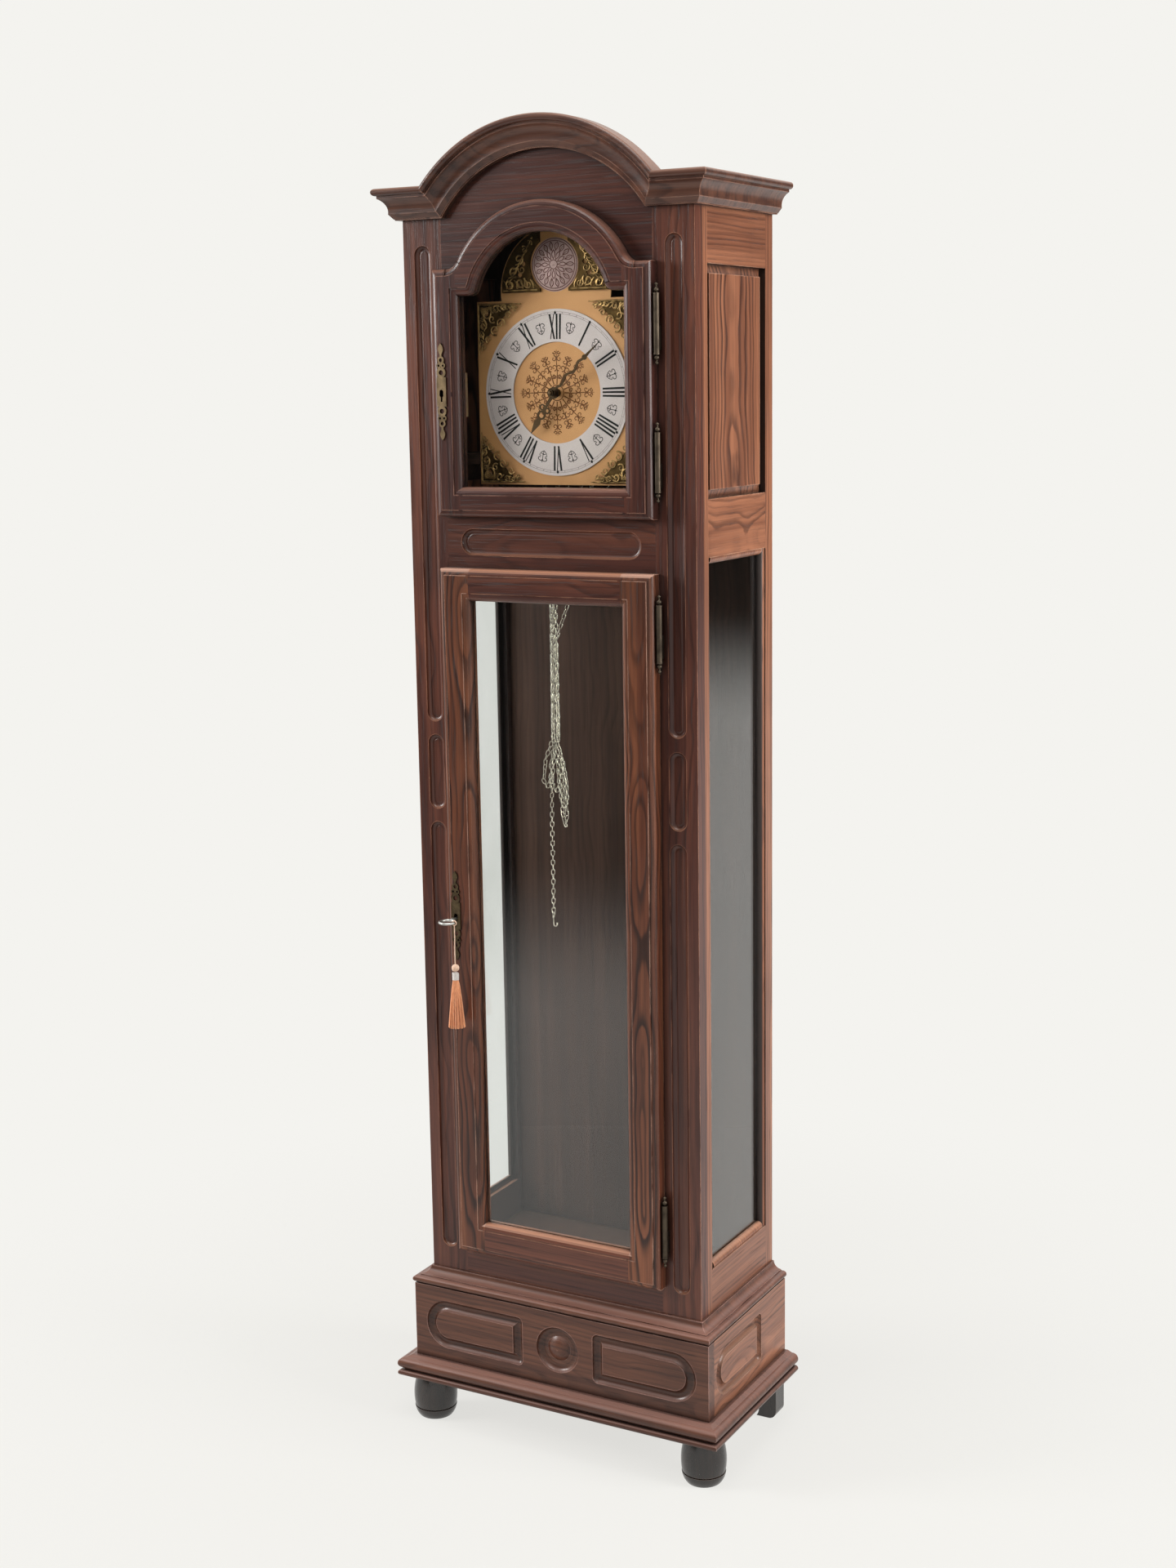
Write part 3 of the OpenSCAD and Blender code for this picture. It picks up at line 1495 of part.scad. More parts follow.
module minute_hand() {
    steps = [for (s = [4 : 4 : minute_hand_len - 1]) s, minute_hand_len];
    back = [for (i = [len(steps) - 1 : -1 : 0]) steps[i]];
    color(bronze) in_case()
        translate([0, 0, dial_z])
            rotate([0, minute_turn, 0])
                difference() {
                    union() {
                        shaft(0, 0, 6.5, minute_hand_y, minute_hand_y + hand_t);
                        upright(minute_hand_y, minute_hand_y + hand_t)
                            polygon(concat(
                                [for (s = steps) [minute_wave(s) + minute_half(s), s]],
                                [for (s = back) [minute_wave(s) - minute_half(s), s]]
                            ));
                        pierced_ring(0, 70, 3.6, 1.8, minute_hand_y, hand_t);
                    }
                    shaft(0, 0, pipe_r - 1, minute_hand_y - 1, minute_hand_y + hand_t + 1);
                }
}

module hand_nut() {
    color(brass) in_case()
        difference() {
            union() {
                shaft(0, dial_z, 4.2, minute_hand_y - 2.5, minute_hand_y);
                translate([0, minute_hand_y - 2.5, dial_z]) sphere(2.8);
            }
            shaft(0, dial_z, pipe_r - 1, minute_hand_y - 1.5, minute_hand_y + 1);
        }
}

// Both plates, bored for the arbors, with the cock that hangs the pendulum
module movement_plates() {
    arbors = [
        [0, dial_z], [0, chain_wheel_z],
        [-chain_wheel_pitch, chain_wheel_z], [chain_wheel_pitch, chain_wheel_z]
    ];
    color(brass) in_case() {
        for (y = [front_plate_y, back_plate_y])
            difference() {
                box([-plate_w / 2, y, seat_z], [plate_w / 2, y + plate_t, seat_z + plate_h]);
                for (p = arbors) shaft(p[0], p[1], arbor_r + running, y - 1, y + plate_t + 1);
            }
        shaft(minute_x, minute_z, arbor_r, front_plate_y - 19, front_plate_y + eps);
        box([-14, back_plate_y + plate_t, leader_z - 50], [14, back_plate_y + plate_t + 3, leader_z + 8]);
        shaft(0, leader_z, pin_r, back_plate_y + plate_t + 3 - eps, leader_y + 5);
        shaft(0, leader_z, pin_r + 1.6, leader_y + 5 - eps, leader_y + 7);
        for (x = [hammer_x - 14, hammer_x + 10])
            difference() {
                box([x, back_plate_y + plate_t, hammer_z - 6], [x + 4, hammer_y + 6, hammer_z + 6]);
                translate([x - 1, hammer_y, hammer_z])
                    rotate([0, 90, 0]) cylinder(r = arbor_r + running, h = 6);
            }
    }
}

// Posts between the plates, and the dial's feet in front of them
module movement_pillars() {
    x = plate_w / 2 - 9;
    color(brass) in_case() {
        for (side = [-1, 1])
            for (z = [seat_z + 9, seat_z + plate_h - 9]) {
                shaft(side * x, z, 4.5, front_plate_y + plate_t, back_plate_y);
                shaft(side * x, z, 3, dial_back + dial_t, front_plate_y);
            }
    }
}

// Arbor through both plates, with the cannon that carries the minute hand
module centre_wheel() {
    front_end = minute_hand_y - 1;
    wheel_r = 26;
    color(brass) in_case() {
        shaft(0, dial_z, arbor_r, front_end, back_plate_y + plate_t + 1);
        difference() {
            shaft(0, dial_z, pipe_r, minute_hand_y + hand_t, front_plate_y - 1);
            shaft(0, dial_z, arbor_r - 0.5, minute_hand_y, front_plate_y);
        }
        gear(0, dial_z, cannon_teeth, motion_module, cannon_y, cannon_y + pinion_w, minute_side);
        gear(0, dial_z, centre_pinion_teeth, great_module, centre_pinion_y, centre_pinion_y + pinion_w, -90);
        shaft(0, dial_z, wheel_r, centre_pinion_y - 4, centre_pinion_y - 2);
    }
}

module minute_wheel() {
    tooth_pitch = 360 / minute_teeth;
    facing = minute_side + 180;
    color(brass) in_case() {
        gear(minute_x, minute_z, minute_teeth, motion_module, minute_wheel_y, minute_wheel_y + wheel_t,
            facing + tooth_pitch / 2, arbor_r + running);
        gear(minute_x, minute_z, minute_pinion_teeth, hour_module, minute_wheel_y - 9,
            minute_wheel_y + eps, facing, arbor_r + running);
    }
}

module hour_wheel() {
    color(brass) in_case()
        difference() {
            union() {
                gear(0, dial_z, hour_teeth, hour_module, hour_wheel_y, hour_wheel_y + wheel_t,
                    minute_side + 180 / hour_teeth);
                shaft(0, dial_z, hour_pipe_r, hour_hand_y + hand_t, hour_wheel_y + eps);
                shaft(0, dial_z, hour_seat_r, hour_hand_y - 0.5, hour_hand_y + hand_t + eps);
            }
            shaft(0, dial_z, pipe_r + running, hour_hand_y - 1, hour_wheel_y + wheel_t + 1);
        }
}

// Chain wheel: arbor, toothed wheel and the sprocket that carries the chain
module chain_wheel(x, wheel_r) {
    shaft(x, chain_wheel_z, arbor_r, front_plate_y - 0.5, back_plate_y + plate_t + 0.5);
    shaft(x, chain_wheel_z, arbor_r + 1.5, front_plate_y + plate_t + 0.3, back_plate_y - 0.3);
    difference() {
        shaft(x, chain_wheel_z, sprocket_r, chain_y - 6, chain_y + 6);
        translate([x, chain_y, chain_wheel_z])
            rotate([90, 0, 0]) rotate_extrude() translate([sprocket_r, 0]) circle(chain_r + 0.4);
    }
    if (wheel_r > 0)
        difference() {
            shaft(x, chain_wheel_z, wheel_r, chain_y - 11, chain_y - 9);
            for (a = [45 : 90 : 315])
                shaft(x + wheel_r * 0.6 * cos(a), chain_wheel_z + wheel_r * 0.6 * sin(a), wheel_r * 0.22,
                    chain_y - 12, chain_y - 8);
        }
}

module time_chain_wheel() {
    color(brass) in_case() {
        chain_wheel(0, 0);
        gear(0, chain_wheel_z, great_teeth, great_module, great_y, great_y + wheel_t,
            90 + 180 / great_teeth);
    }
}

module strike_chain_wheel() {
    color(brass) in_case() chain_wheel(-chain_wheel_pitch, 26);
}

module chime_chain_wheel() {
    color(brass) in_case() chain_wheel(chain_wheel_pitch, 26);
}

// Board under the movement, slotted for the chains, on two bearers
module seat_board() {
    slot_half = chain_wheel_pitch + sprocket_r + 2 * chain_r + 4;
    bearer_w = 25;
    wheel_r = great_teeth * great_module / 2 + great_module;
    wheel_half = sqrt(wheel_r * wheel_r - chain_wheel_up * chain_wheel_up) + 3;
    color(board) in_case() {
        difference() {
            box([-inner_w + 1, dial_back + dial_t + 8, seat_z - seat_t],
                [inner_w - 1, back_plate_y + plate_t + 4, seat_z]);
            box([-slot_half, chain_y - chain_r - 3, seat_z - seat_t - 1],
                [slot_half, chain_y + chain_r + 3, seat_z + 1]);
            box([-wheel_half, great_y - 2, seat_z - seat_t - 1],
                [wheel_half, great_y + wheel_t + 2, seat_z + 1]);
        }
        both_sides()
            box([inner_w - bearer_w, frame_t, seat_z - seat_t - 25], [inner_w, back_front, seat_z - seat_t]);
    }
}

module pendulum_leader() {
    hook_r = 5;
    color(steel) in_case()
        translate([0, leader_y, leader_z])
            difference() {
                union() {
                    rotate([-90, 0, 0]) cylinder(r = pin_r + 2.4, h = 4, center = true);
                    translate([-3, -0.8, -leader_len + hook_r]) cube([6, 1.6, leader_len - hook_r]);
                    translate([0, 0, -leader_len])
                        rotate([90, 0, 0]) cylinder(r = hook_r + 2.5, h = 2.4, center = true);
                }
                rotate([-90, 0, 0]) cylinder(r = pin_r + running, h = 6, center = true);
                translate([0, 0, -leader_len]) rotate([90, 0, 0]) cylinder(r = hook_r, h = 6, center = true);
            }
}

module strike_hammer() {
    arbor_len = 30;
    head_r = 6;
    head_len = 22;
    head_up = 40;
    head_y = hammer_reach + 6 - head_len;
    color(brass) in_case()
        translate([hammer_x, hammer_y, hammer_z]) {
            rotate([0, 90, 0]) cylinder(r = arbor_r, h = arbor_len, center = true);
            rotate([0, 90, 0]) cylinder(r = 4, h = 8, center = true);
            bar([0, 0, 0], [0, head_y + 4, head_up], 1.5);
            translate([0, head_y, head_up])
                rotate([-90, 0, 0]) cylinder(r = head_r, h = head_len);
        }
}

module gong_rods() {
    rod_pitch = 22;
    block_half = rod_pitch + 10;
    block_h = 24;
    color(steel) in_case() {
        box([hammer_x - block_half, gong_y - 8, gong_z],
            [hammer_x + block_half, back_front, gong_z + block_h]);
        for (k = [-1 : 1])
            translate([hammer_x + k * rod_pitch, gong_y, gong_z - gong_len])
                cylinder(r = 2, h = gong_len + eps);
    }
}

// Chains: down from their wheels, gathered, knotted and left to hang
module chains() {
    runs = [for (k = [-1 : 1]) for (side = [-1, 1]) k * chain_wheel_pitch + side * sprocket_r];
    color(steel) in_case()
        translate([0, chain_y, 0]) {
            for (i = [0 : 5])
                tube([
                    [runs[i], 0, chain_wheel_z - 1], [runs[i] * 0.92 - 1, 0, seat_z - seat_t - 4],
                    [gather_x[i], gather_y[i], gather_z + gather_up[i]],
                    [braid_x + braid_spread * (gather_x[i] - braid_x), braid_spread * gather_y[i], knot_z]
                ], chain_r);
            for (loop = bundle) tube([for (p = loop) [p.x, p.y, knot_z + p.z]], chain_r);
            translate([bundle[4][4].x, 0, knot_z + bundle[4][4].z - hook_len]) cylinder(r = 4, h = hook_len);
        }
}

bun_feet();
bracket_feet();
base_moulding();
plinth_front();
plinth_sides();
waist_moulding();
front_stiles();
front_rails();
frieze_board();
side_stiles();
side_rails();
side_panels();
side_glass();
side_glass_beads();
back_panel();
trunk_floor();
top_board();
cornice_arch();
cornice_straights();
hood_door_stiles();
hood_door_sill();
hood_door_head();
hood_glass();
hood_glass_beads();
hood_escutcheon();
hood_lock();
hood_bolt();
trunk_door_stiles();
trunk_door_rails();
trunk_glass();
trunk_glass_beads();
trunk_escutcheon();
trunk_lock();
trunk_bolt();
case_hinge_halves();
hood_hinge_halves();
trunk_hinge_halves();
door_key();
tassel_cord();
tassel();
dial_plate();
chapter_ring();
spandrels();
arch_boss();
hour_hand();
minute_hand();
hand_nut();
movement_plates();
movement_pillars();
centre_wheel();
minute_wheel();
hour_wheel();
time_chain_wheel();
strike_chain_wheel();
chime_chain_wheel();
seat_board();
pendulum_leader();
strike_hammer();
gong_rods();
chains();
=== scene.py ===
# %% [markdown]
# # A longcase clock, dressed in Blender
# The clock's solids come from its CAD model, already in place and in metres. This lesson gives them
# their looks: stained oak, cast and gilt brass, silvered metal, glass and thread, and it models the
# pieces whose form is too fine for the CAD, such as the chain's links and the dial's numerals.

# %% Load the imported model
import bpy
import math
import random
from mathutils import Euler
from mathutils import Matrix
from mathutils import Vector


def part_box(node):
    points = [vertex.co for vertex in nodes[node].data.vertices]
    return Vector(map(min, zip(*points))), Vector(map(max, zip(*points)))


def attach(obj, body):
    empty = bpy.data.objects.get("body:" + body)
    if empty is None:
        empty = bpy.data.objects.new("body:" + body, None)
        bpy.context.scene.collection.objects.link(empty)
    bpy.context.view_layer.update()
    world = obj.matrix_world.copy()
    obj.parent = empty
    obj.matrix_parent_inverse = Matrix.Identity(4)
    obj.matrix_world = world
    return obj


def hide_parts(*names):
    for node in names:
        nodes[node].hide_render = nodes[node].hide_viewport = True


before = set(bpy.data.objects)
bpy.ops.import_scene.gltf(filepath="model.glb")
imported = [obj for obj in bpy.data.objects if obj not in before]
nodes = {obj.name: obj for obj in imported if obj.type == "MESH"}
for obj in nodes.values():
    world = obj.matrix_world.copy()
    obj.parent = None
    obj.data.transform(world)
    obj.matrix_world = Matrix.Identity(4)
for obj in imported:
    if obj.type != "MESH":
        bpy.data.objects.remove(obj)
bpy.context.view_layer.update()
bpy.ops.object.select_all(action="DESELECT")
print("pieces from the CAD:", len(nodes))

# %% [markdown]
# ## The camera
# The photograph was taken from the clock's right, 29 degrees round from its front, at about the height
# of its dial and looking down. The lens and the place were solved from the case's own edges, so the
# render can be laid over the photograph.

# %% Place the camera
camera_place = Vector((1.4827, -2.6689, 1.5495))
camera_turn = math.radians(29.0)
camera_tilt = math.radians(10.53)
camera_roll = math.radians(-0.9)
camera_data = bpy.data.cameras.new("photo_camera")
camera_data.sensor_width = 36
camera_data.lens = 49.47
camera = bpy.data.objects.new("photo_camera", camera_data)
bpy.context.scene.collection.objects.link(camera)
look = Euler((math.pi / 2 - camera_tilt, 0, camera_turn), "XYZ").to_matrix()
camera.matrix_world = (
    Matrix.Translation(camera_place) @ look.to_4x4() @ Matrix.Rotation(camera_roll, 4, "Z")
)
bpy.context.scene.camera = camera
print("camera height:", round(camera_place.z, 2), "m")

# %% [markdown]
# ## Floor, backdrop and light
# A pale floor under a pale world gives the plain look of a cut-out photograph. Light Path tells the two
# apart for the camera, for gloss and through glass, so the backdrop lends them its colour and no extra
# light. A soft lamp at the left draws the front's relief, one at the right lights the side strongly,
# and one above gives the mouldings their bright lines. Panes mirror a room, so two cards stand where
# they would mirror the pale world. They glow dark, a painted shade of a room for the panes to mirror.

# %% Start a material and wire its nodes
def material(name):
    """An empty node material."""
    made = bpy.data.materials.new(name)
    made.use_nodes = True
    made.node_tree.nodes.clear()
    return made


def feed(made, made_node, socket, value):
    """Sets a socket, named or numbered as i0, i1, or links it when the value is another socket."""
    numbered = socket[0] == "i" and socket[1:].isdigit()
    target = made_node.inputs[int(socket[1:]) if numbered else socket]
    if isinstance(value, bpy.types.NodeSocket):
        made.node_tree.links.new(value, target)
    else:
        target.default_value = value


def add(made, kind, settings=None, **sockets):
    """A new node in the material, with its settings and sockets filled in."""
    made_node = made.node_tree.nodes.new("ShaderNode" + kind)
    for key, value in (settings or {}).items():
        setattr(made_node, key, value)
    for key, value in sockets.items():
        feed(made, made_node, key.replace("_", " "), value)
    return made_node


def finish_with(made, shader):
    """Ends the material in this shader."""
    add(made, "OutputMaterial", None, Surface=shader)
    return made


def rgb(red, green, blue):
    """A colour given in screen values from 0 to 255, as the shader's linear ones."""
    parts = []
    for value in (red, green, blue):
        share = value / 255
        parts.append(share / 12.92 if share <= 0.04045 else ((share + 0.055) / 1.055) ** 2.4)
    return (*parts, 1.0)


print("128 on the screen is", round(rgb(128, 128, 128)[0], 3), "in a shader")

# %% Helpers for sums, blends and patterns
def maths(made, operation, a, b=0.0):
    return add(made, "Math", {"operation": operation}, i0=a, i1=b).outputs[0]


def blend(made, share, low, high):
    """Colour between low and high; the share is a number or a socket."""
    return add(made, "MixRGB", {"blend_type": "MIX"}, i0=share, i1=low, i2=high).outputs[0]


def steps(made, value, low, high):
    """0 below low, 1 above high and smooth between."""
    made_node = add(
        made, "MapRange", {"interpolation_type": "SMOOTHSTEP"},
        Value=value, From_Min=low, From_Max=high,
    )
    return made_node.outputs[0]


def noise(made, place, scale, detail=3.0, rough=0.55):
    made_node = add(
        made, "TexNoise", None, Vector=place, Scale=scale, Detail=detail, Roughness=rough,
    )
    return made_node.outputs[0]


def mapped(made, vector, place=(0, 0, 0), scale=(1, 1, 1)):
    """A place moved and stretched, which centres a pattern or draws it out."""
    made_node = add(
        made, "Mapping", {"vector_type": "POINT"}, Vector=vector, Location=place, Scale=scale,
    )
    return made_node.outputs[0]


def object_place(made):
    """Where a point lies on its piece, in metres."""
    return add(made, "TexCoord").outputs["Object"]


print("pattern helpers ready")

# %% Build the floor
PALE = rgb(244, 243, 239)
FLOOR_SIZE = 14.0
SHADOW_REACH = (0.4, 1.5)
SHADOW_DEPTH = 0.22
bpy.ops.mesh.primitive_plane_add(size=FLOOR_SIZE, location=(0, 0, 0))
floor = bpy.context.active_object
floor.name = "stage_floor"


def seen_directly(made):
    """1 for the rays that show the backdrop: the camera's, gloss's and those through glass."""
    rays = add(made, "LightPath")
    shown = maths(made, "MAXIMUM", rays.outputs["Is Camera Ray"], rays.outputs["Is Glossy Ray"])
    return maths(made, "MAXIMUM", shown, rays.outputs["Is Transmission Ray"])


def paint_floor():
    """Pale where it is seen, plain where light falls on it, and a little darker near the clock."""
    made = material("stage_floor_paint")
    away = add(made, "VectorMath", {"operation": "LENGTH"}, i0=object_place(made)).outputs["Value"]
    shadow_share = maths(made, "MULTIPLY", steps(made, away, *reversed(SHADOW_REACH)), SHADOW_DEPTH)
    shown = maths(made, "MULTIPLY", seen_directly(made), maths(made, "SUBTRACT", 1.0, shadow_share))
    lit = add(made, "BsdfDiffuse", None, Color=rgb(214, 213, 209))
    glow = add(made, "Emission", None, Color=PALE, Strength=1.0)
    mixed = add(made, "MixShader", None, i0=shown, i1=lit.outputs[0], i2=glow.outputs[0])
    return finish_with(made, mixed.outputs[0])


floor.data.materials.append(paint_floor())
print("floor:", FLOOR_SIZE, "m across")

# %% Make the pale world
world = bpy.data.worlds.new("pale_studio")
bpy.context.scene.world = world
world.use_nodes = True
world.node_tree.nodes.clear()


def backdrop(made):
    """Pale for the rays that show it, and a soft fill light for the rest."""
    lit = add(made, "Background", None, Color=rgb(250, 246, 240), Strength=0.34)
    shown = add(made, "Background", None, Color=PALE, Strength=1.0)
    picked = add(
        made, "MixShader", None, i0=seen_directly(made), i1=lit.outputs[0], i2=shown.outputs[0],
    )
    add(made, "OutputWorld", None, Surface=picked.outputs[0])


backdrop(world)
print("world:", world.name)

# %% Helpers for the dark cards
# The cards' dark glow: a painted shade of a room, seen in the panes
CARD_DARK = rgb(34, 32, 30)


def card_paint(name, reach):
    """Card that glows dark, a painted shade of a room, and fades into the pale floor at its foot, up to
    reach.
    """
    made = material(name)
    apart = add(made, "SeparateXYZ", None, Vector=object_place(made))
    near_floor = steps(made, apart.outputs[2], reach, 0.0)
    tone = blend(made, near_floor, CARD_DARK, PALE)
    return finish_with(made, add(made, "Emission", None, Color=tone, Strength=1.0).outputs[0])


def dark_card(name, aim, turn, away, size, reach):
    """A card for the panes to mirror, standing away from the clock in the direction turn."""
    x = aim[0] + away * math.sin(turn)
    y = aim[1] + away * math.cos(turn)
    width, height = size
    bpy.ops.mesh.primitive_plane_add(
        size=1, location=(x, y, height / 2), rotation=(math.pi / 2, 0, -turn),
    )
    card = bpy.context.active_object
    card.name = name
    card.scale = (width, height, 1)
    bpy.ops.object.transform_apply(location=True, rotation=True, scale=True)
    card.data.materials.append(card_paint(name + "_paint", reach))
    card.visible_camera = False
    card.visible_diffuse = False
    card.visible_shadow = False


def mirrored_sight(aim, flip_x, flip_y):
    """The way that the camera's look at a pane takes after it, as a turn from the y axis."""
    return math.atan2(flip_x * (aim[0] - camera_place.x), flip_y * (aim[1] - camera_place.y))


print("a card's dark tone:", round(CARD_DARK[0], 3))

# %% Stand two dark cards where the panes would mirror the pale room
FRONT_CARD = {"away": 2.2, "size": (1.7, 2.6), "reach": 0.42}
SIDE_CARD = {"away": 6.7, "size": (4.2, 3.6), "reach": 0.55}
side_low, side_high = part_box("side_glass")
front_pane = (0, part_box("front_stiles")[0][1])
side_pane = (side_high[0], (side_low[1] + side_high[1]) / 2)
dark_card("card_front", front_pane, mirrored_sight(front_pane, 1, -1), **FRONT_CARD)
dark_card("card_side", side_pane, mirrored_sight(side_pane, -1, 1), **SIDE_CARD)
print("cards stand at", FRONT_CARD["away"], "m and", SIDE_CARD["away"], "m")

# %% Hang the lamps
# Each lamp: its name, its place, what it is aimed at, its width in metres and its power in watts
LAMPS = (
    ("lamp_left", (-3.2, -1.9, 2.3), (0, 0, 1.1), 1.4, 125),
    ("lamp_right", (3.2, 0.3, 2.0), (0, 0, 1.0), 1.6, 105),
    ("lamp_above", (0.4, -1.0, 4.2), (0, 0, 1.0), 2.0, 55),
)


def soft_lamp(name, place, aim, size, power):
    data = bpy.data.lights.new(name, "AREA")
    data.size = size
    data.energy = power
    lamp = bpy.data.objects.new(name, data)
    bpy.context.scene.collection.objects.link(lamp)
    lamp.location = place
    lamp.rotation_euler = (Vector(aim) - Vector(place)).to_track_quat("-Z", "Y").to_euler()


for facts in LAMPS:
    soft_lamp(*facts)
print("lamps:", len(LAMPS))

# %% [markdown]
# ## Stained oak
# Each board was sawn near the trunk's middle, so its face cuts the year rings in long arches. Oak's
# pores crowd into the start of each ring and drink the dark stain, which gives sharp dark lines that
# fade outwards. The rings are distances from a line behind the board's face, and a slow noise moves
# that line near and far, which draws the arches and ovals. Pores are a noise drawn out along the
# grain. The Bevel node finds the worn edges, and edges where two boards only butt together are kept
# dark. Ambient Occlusion darkens corners and grooves as painted shade. Faces that look up are paler,
# a painted highlight of light from above, and the side's faces that look into the case get painted
# shade.

# %% Cut the year rings
# The left board of a pair is sawn from another place in the tree than the right one
FURTHER_ALONG = 2.3
FURTHER_ACROSS = 0.018


def apart_along(made, axes, pair):
    """The place on a board: across it, through it and along its grain. A pair stands left and right."""
    ways = dict(zip("xyz", add(made, "SeparateXYZ", None, Vector=object_place(made)).outputs))
    across, through, along = (ways[letter] for letter in axes)
    if pair:
        left = maths(made, "LESS_THAN", ways["x"], 0.0)
        along = maths(made, "ADD", along, maths(made, "MULTIPLY", left, FURTHER_ALONG))
        shifted = maths(made, "MULTIPLY", left, FURTHER_ACROSS)
        paired = maths(made, "ADD", maths(made, "ABSOLUTE", ways["x"]), shifted)
        across = paired if axes[0] == "x" else across
        through = paired if axes[1] == "x" else through
    return across, through, along


def year_rings(made, board, heart, face, cut, lean, swell, ring, wave, ripple):
    """How far into the dark early wood of its ring each point is, from 0 to 1."""
    across, through, along = board
    flat = add(made, "CombineXYZ", None, X=across, Y=through, Z=along).outputs[0]
    slow = noise(made, mapped(made, flat, scale=(7, 7, wave)), 1.0, 2.0)
    fine = noise(made, mapped(made, flat, scale=(ripple[0], ripple[0], ripple[1])), 1.0, 3.0)
    depth = maths(made, "ADD", maths(made, "SUBTRACT", through, face), cut)
    depth = maths(made, "ADD", depth, maths(made, "MULTIPLY", along, lean))
    lifted = maths(made, "MULTIPLY", maths(made, "SUBTRACT", slow, 0.5), 2 * swell)
    depth = maths(made, "ADD", depth, lifted)
    side = maths(made, "SUBTRACT", across, heart)
    squares = maths(made, "ADD", maths(made, "POWER", side, 2), maths(made, "POWER", depth, 2))
    rippled = maths(made, "MULTIPLY", fine, ripple[2])
    radius = maths(made, "ADD", maths(made, "SQRT", squares), rippled)
    turn = maths(made, "FRACT", maths(made, "DIVIDE", radius, ring))
    fading = steps(made, turn, 0.62, 0.04)
    rising = steps(made, turn, 0.84, 1.0)
    spread = add(made, "CombineXYZ", None, X=maths(made, "MULTIPLY", radius, 130), Z=along).outputs[0]
    strength = steps(made, noise(made, spread, 1.0, 2.0), 0.32, 0.62)
    return maths(made, "MULTIPLY", maths(made, "MAXIMUM", fading, rising), strength), flat


print("left boards are sawn", FURTHER_ALONG, "m further up the tree")

# %% Find worn edges and painted corner shade
EDGE_REACH = 0.0018


def worn_edges(made, seams):
    """1 on outer edges that hands and cloths have rubbed, 0 where two boards only butt together."""
    bevelled = add(made, "Bevel", {"samples": 4}, Radius=EDGE_REACH)
    true_normal = add(made, "NewGeometry").outputs["True Normal"]
    facing = add(
        made, "VectorMath", {"operation": "DOT_PRODUCT"}, i0=bevelled.outputs[0], i1=true_normal,
    )
    rubbed = steps(made, facing.outputs["Value"], 0.995, 0.88)
    patches = steps(made, noise(made, object_place(made), 21.0, 4.0), 0.3, 0.6)
    rubbed = maths(made, "MULTIPLY", rubbed, patches)
    ways = dict(zip("xyz", add(made, "SeparateXYZ", None, Vector=object_place(made)).outputs))
    for axis, seam in seams:
        way = maths(made, "ABSOLUTE", ways[axis]) if axis == "x" else ways[axis]
        apart = maths(made, "ABSOLUTE", maths(made, "SUBTRACT", way, seam))
        rubbed = maths(made, "MULTIPLY", rubbed, steps(made, apart, 0.002, 0.0045))
    return rubbed


def painted_corner_shade(made, reach, shut, free):
    """Painted shade: 1 where Ambient Occlusion finds a corner shut in, 0 where it lies free; reach is
    the distance looked round.
    """
    shade = add(made, "AmbientOcclusion", {"samples": 6}, Distance=reach)
    return maths(made, "SUBTRACT", 1.0, steps(made, shade.outputs["AO"], shut, free))


print("edges are worn", EDGE_REACH * 1000, "mm deep")

# %% Find faces that look into the case, and upwards
# Behind this y, a face of the side that looks forward is inside the case
FRONT_BOARDS_END = -0.078


def inside_case_shade(made):
    """1 on the side's faces that look into the case, which are darkened as painted shade."""
    ways = add(made, "SeparateXYZ", None, Vector=object_place(made)).outputs
    true_normal = add(made, "NewGeometry").outputs["True Normal"]
    facing = add(made, "SeparateXYZ", None, Vector=true_normal).outputs
    inward = maths(made, "MULTIPLY", maths(made, "SIGN", ways[0]), facing[0])
    behind = maths(made, "GREATER_THAN", ways[1], FRONT_BOARDS_END)
    forward = maths(made, "MULTIPLY", facing[1], behind)
    return steps(made, maths(made, "MINIMUM", inward, forward), -0.3, -0.7)


def upward(made):
    """1 on faces that look up, which get a painted highlight of the light from above."""
    true_normal = add(made, "NewGeometry").outputs["True Normal"]
    return steps(made, add(made, "SeparateXYZ", None, Vector=true_normal).outputs[2], 0.3, 0.75)


print("the front's boards end at y =", FRONT_BOARDS_END)

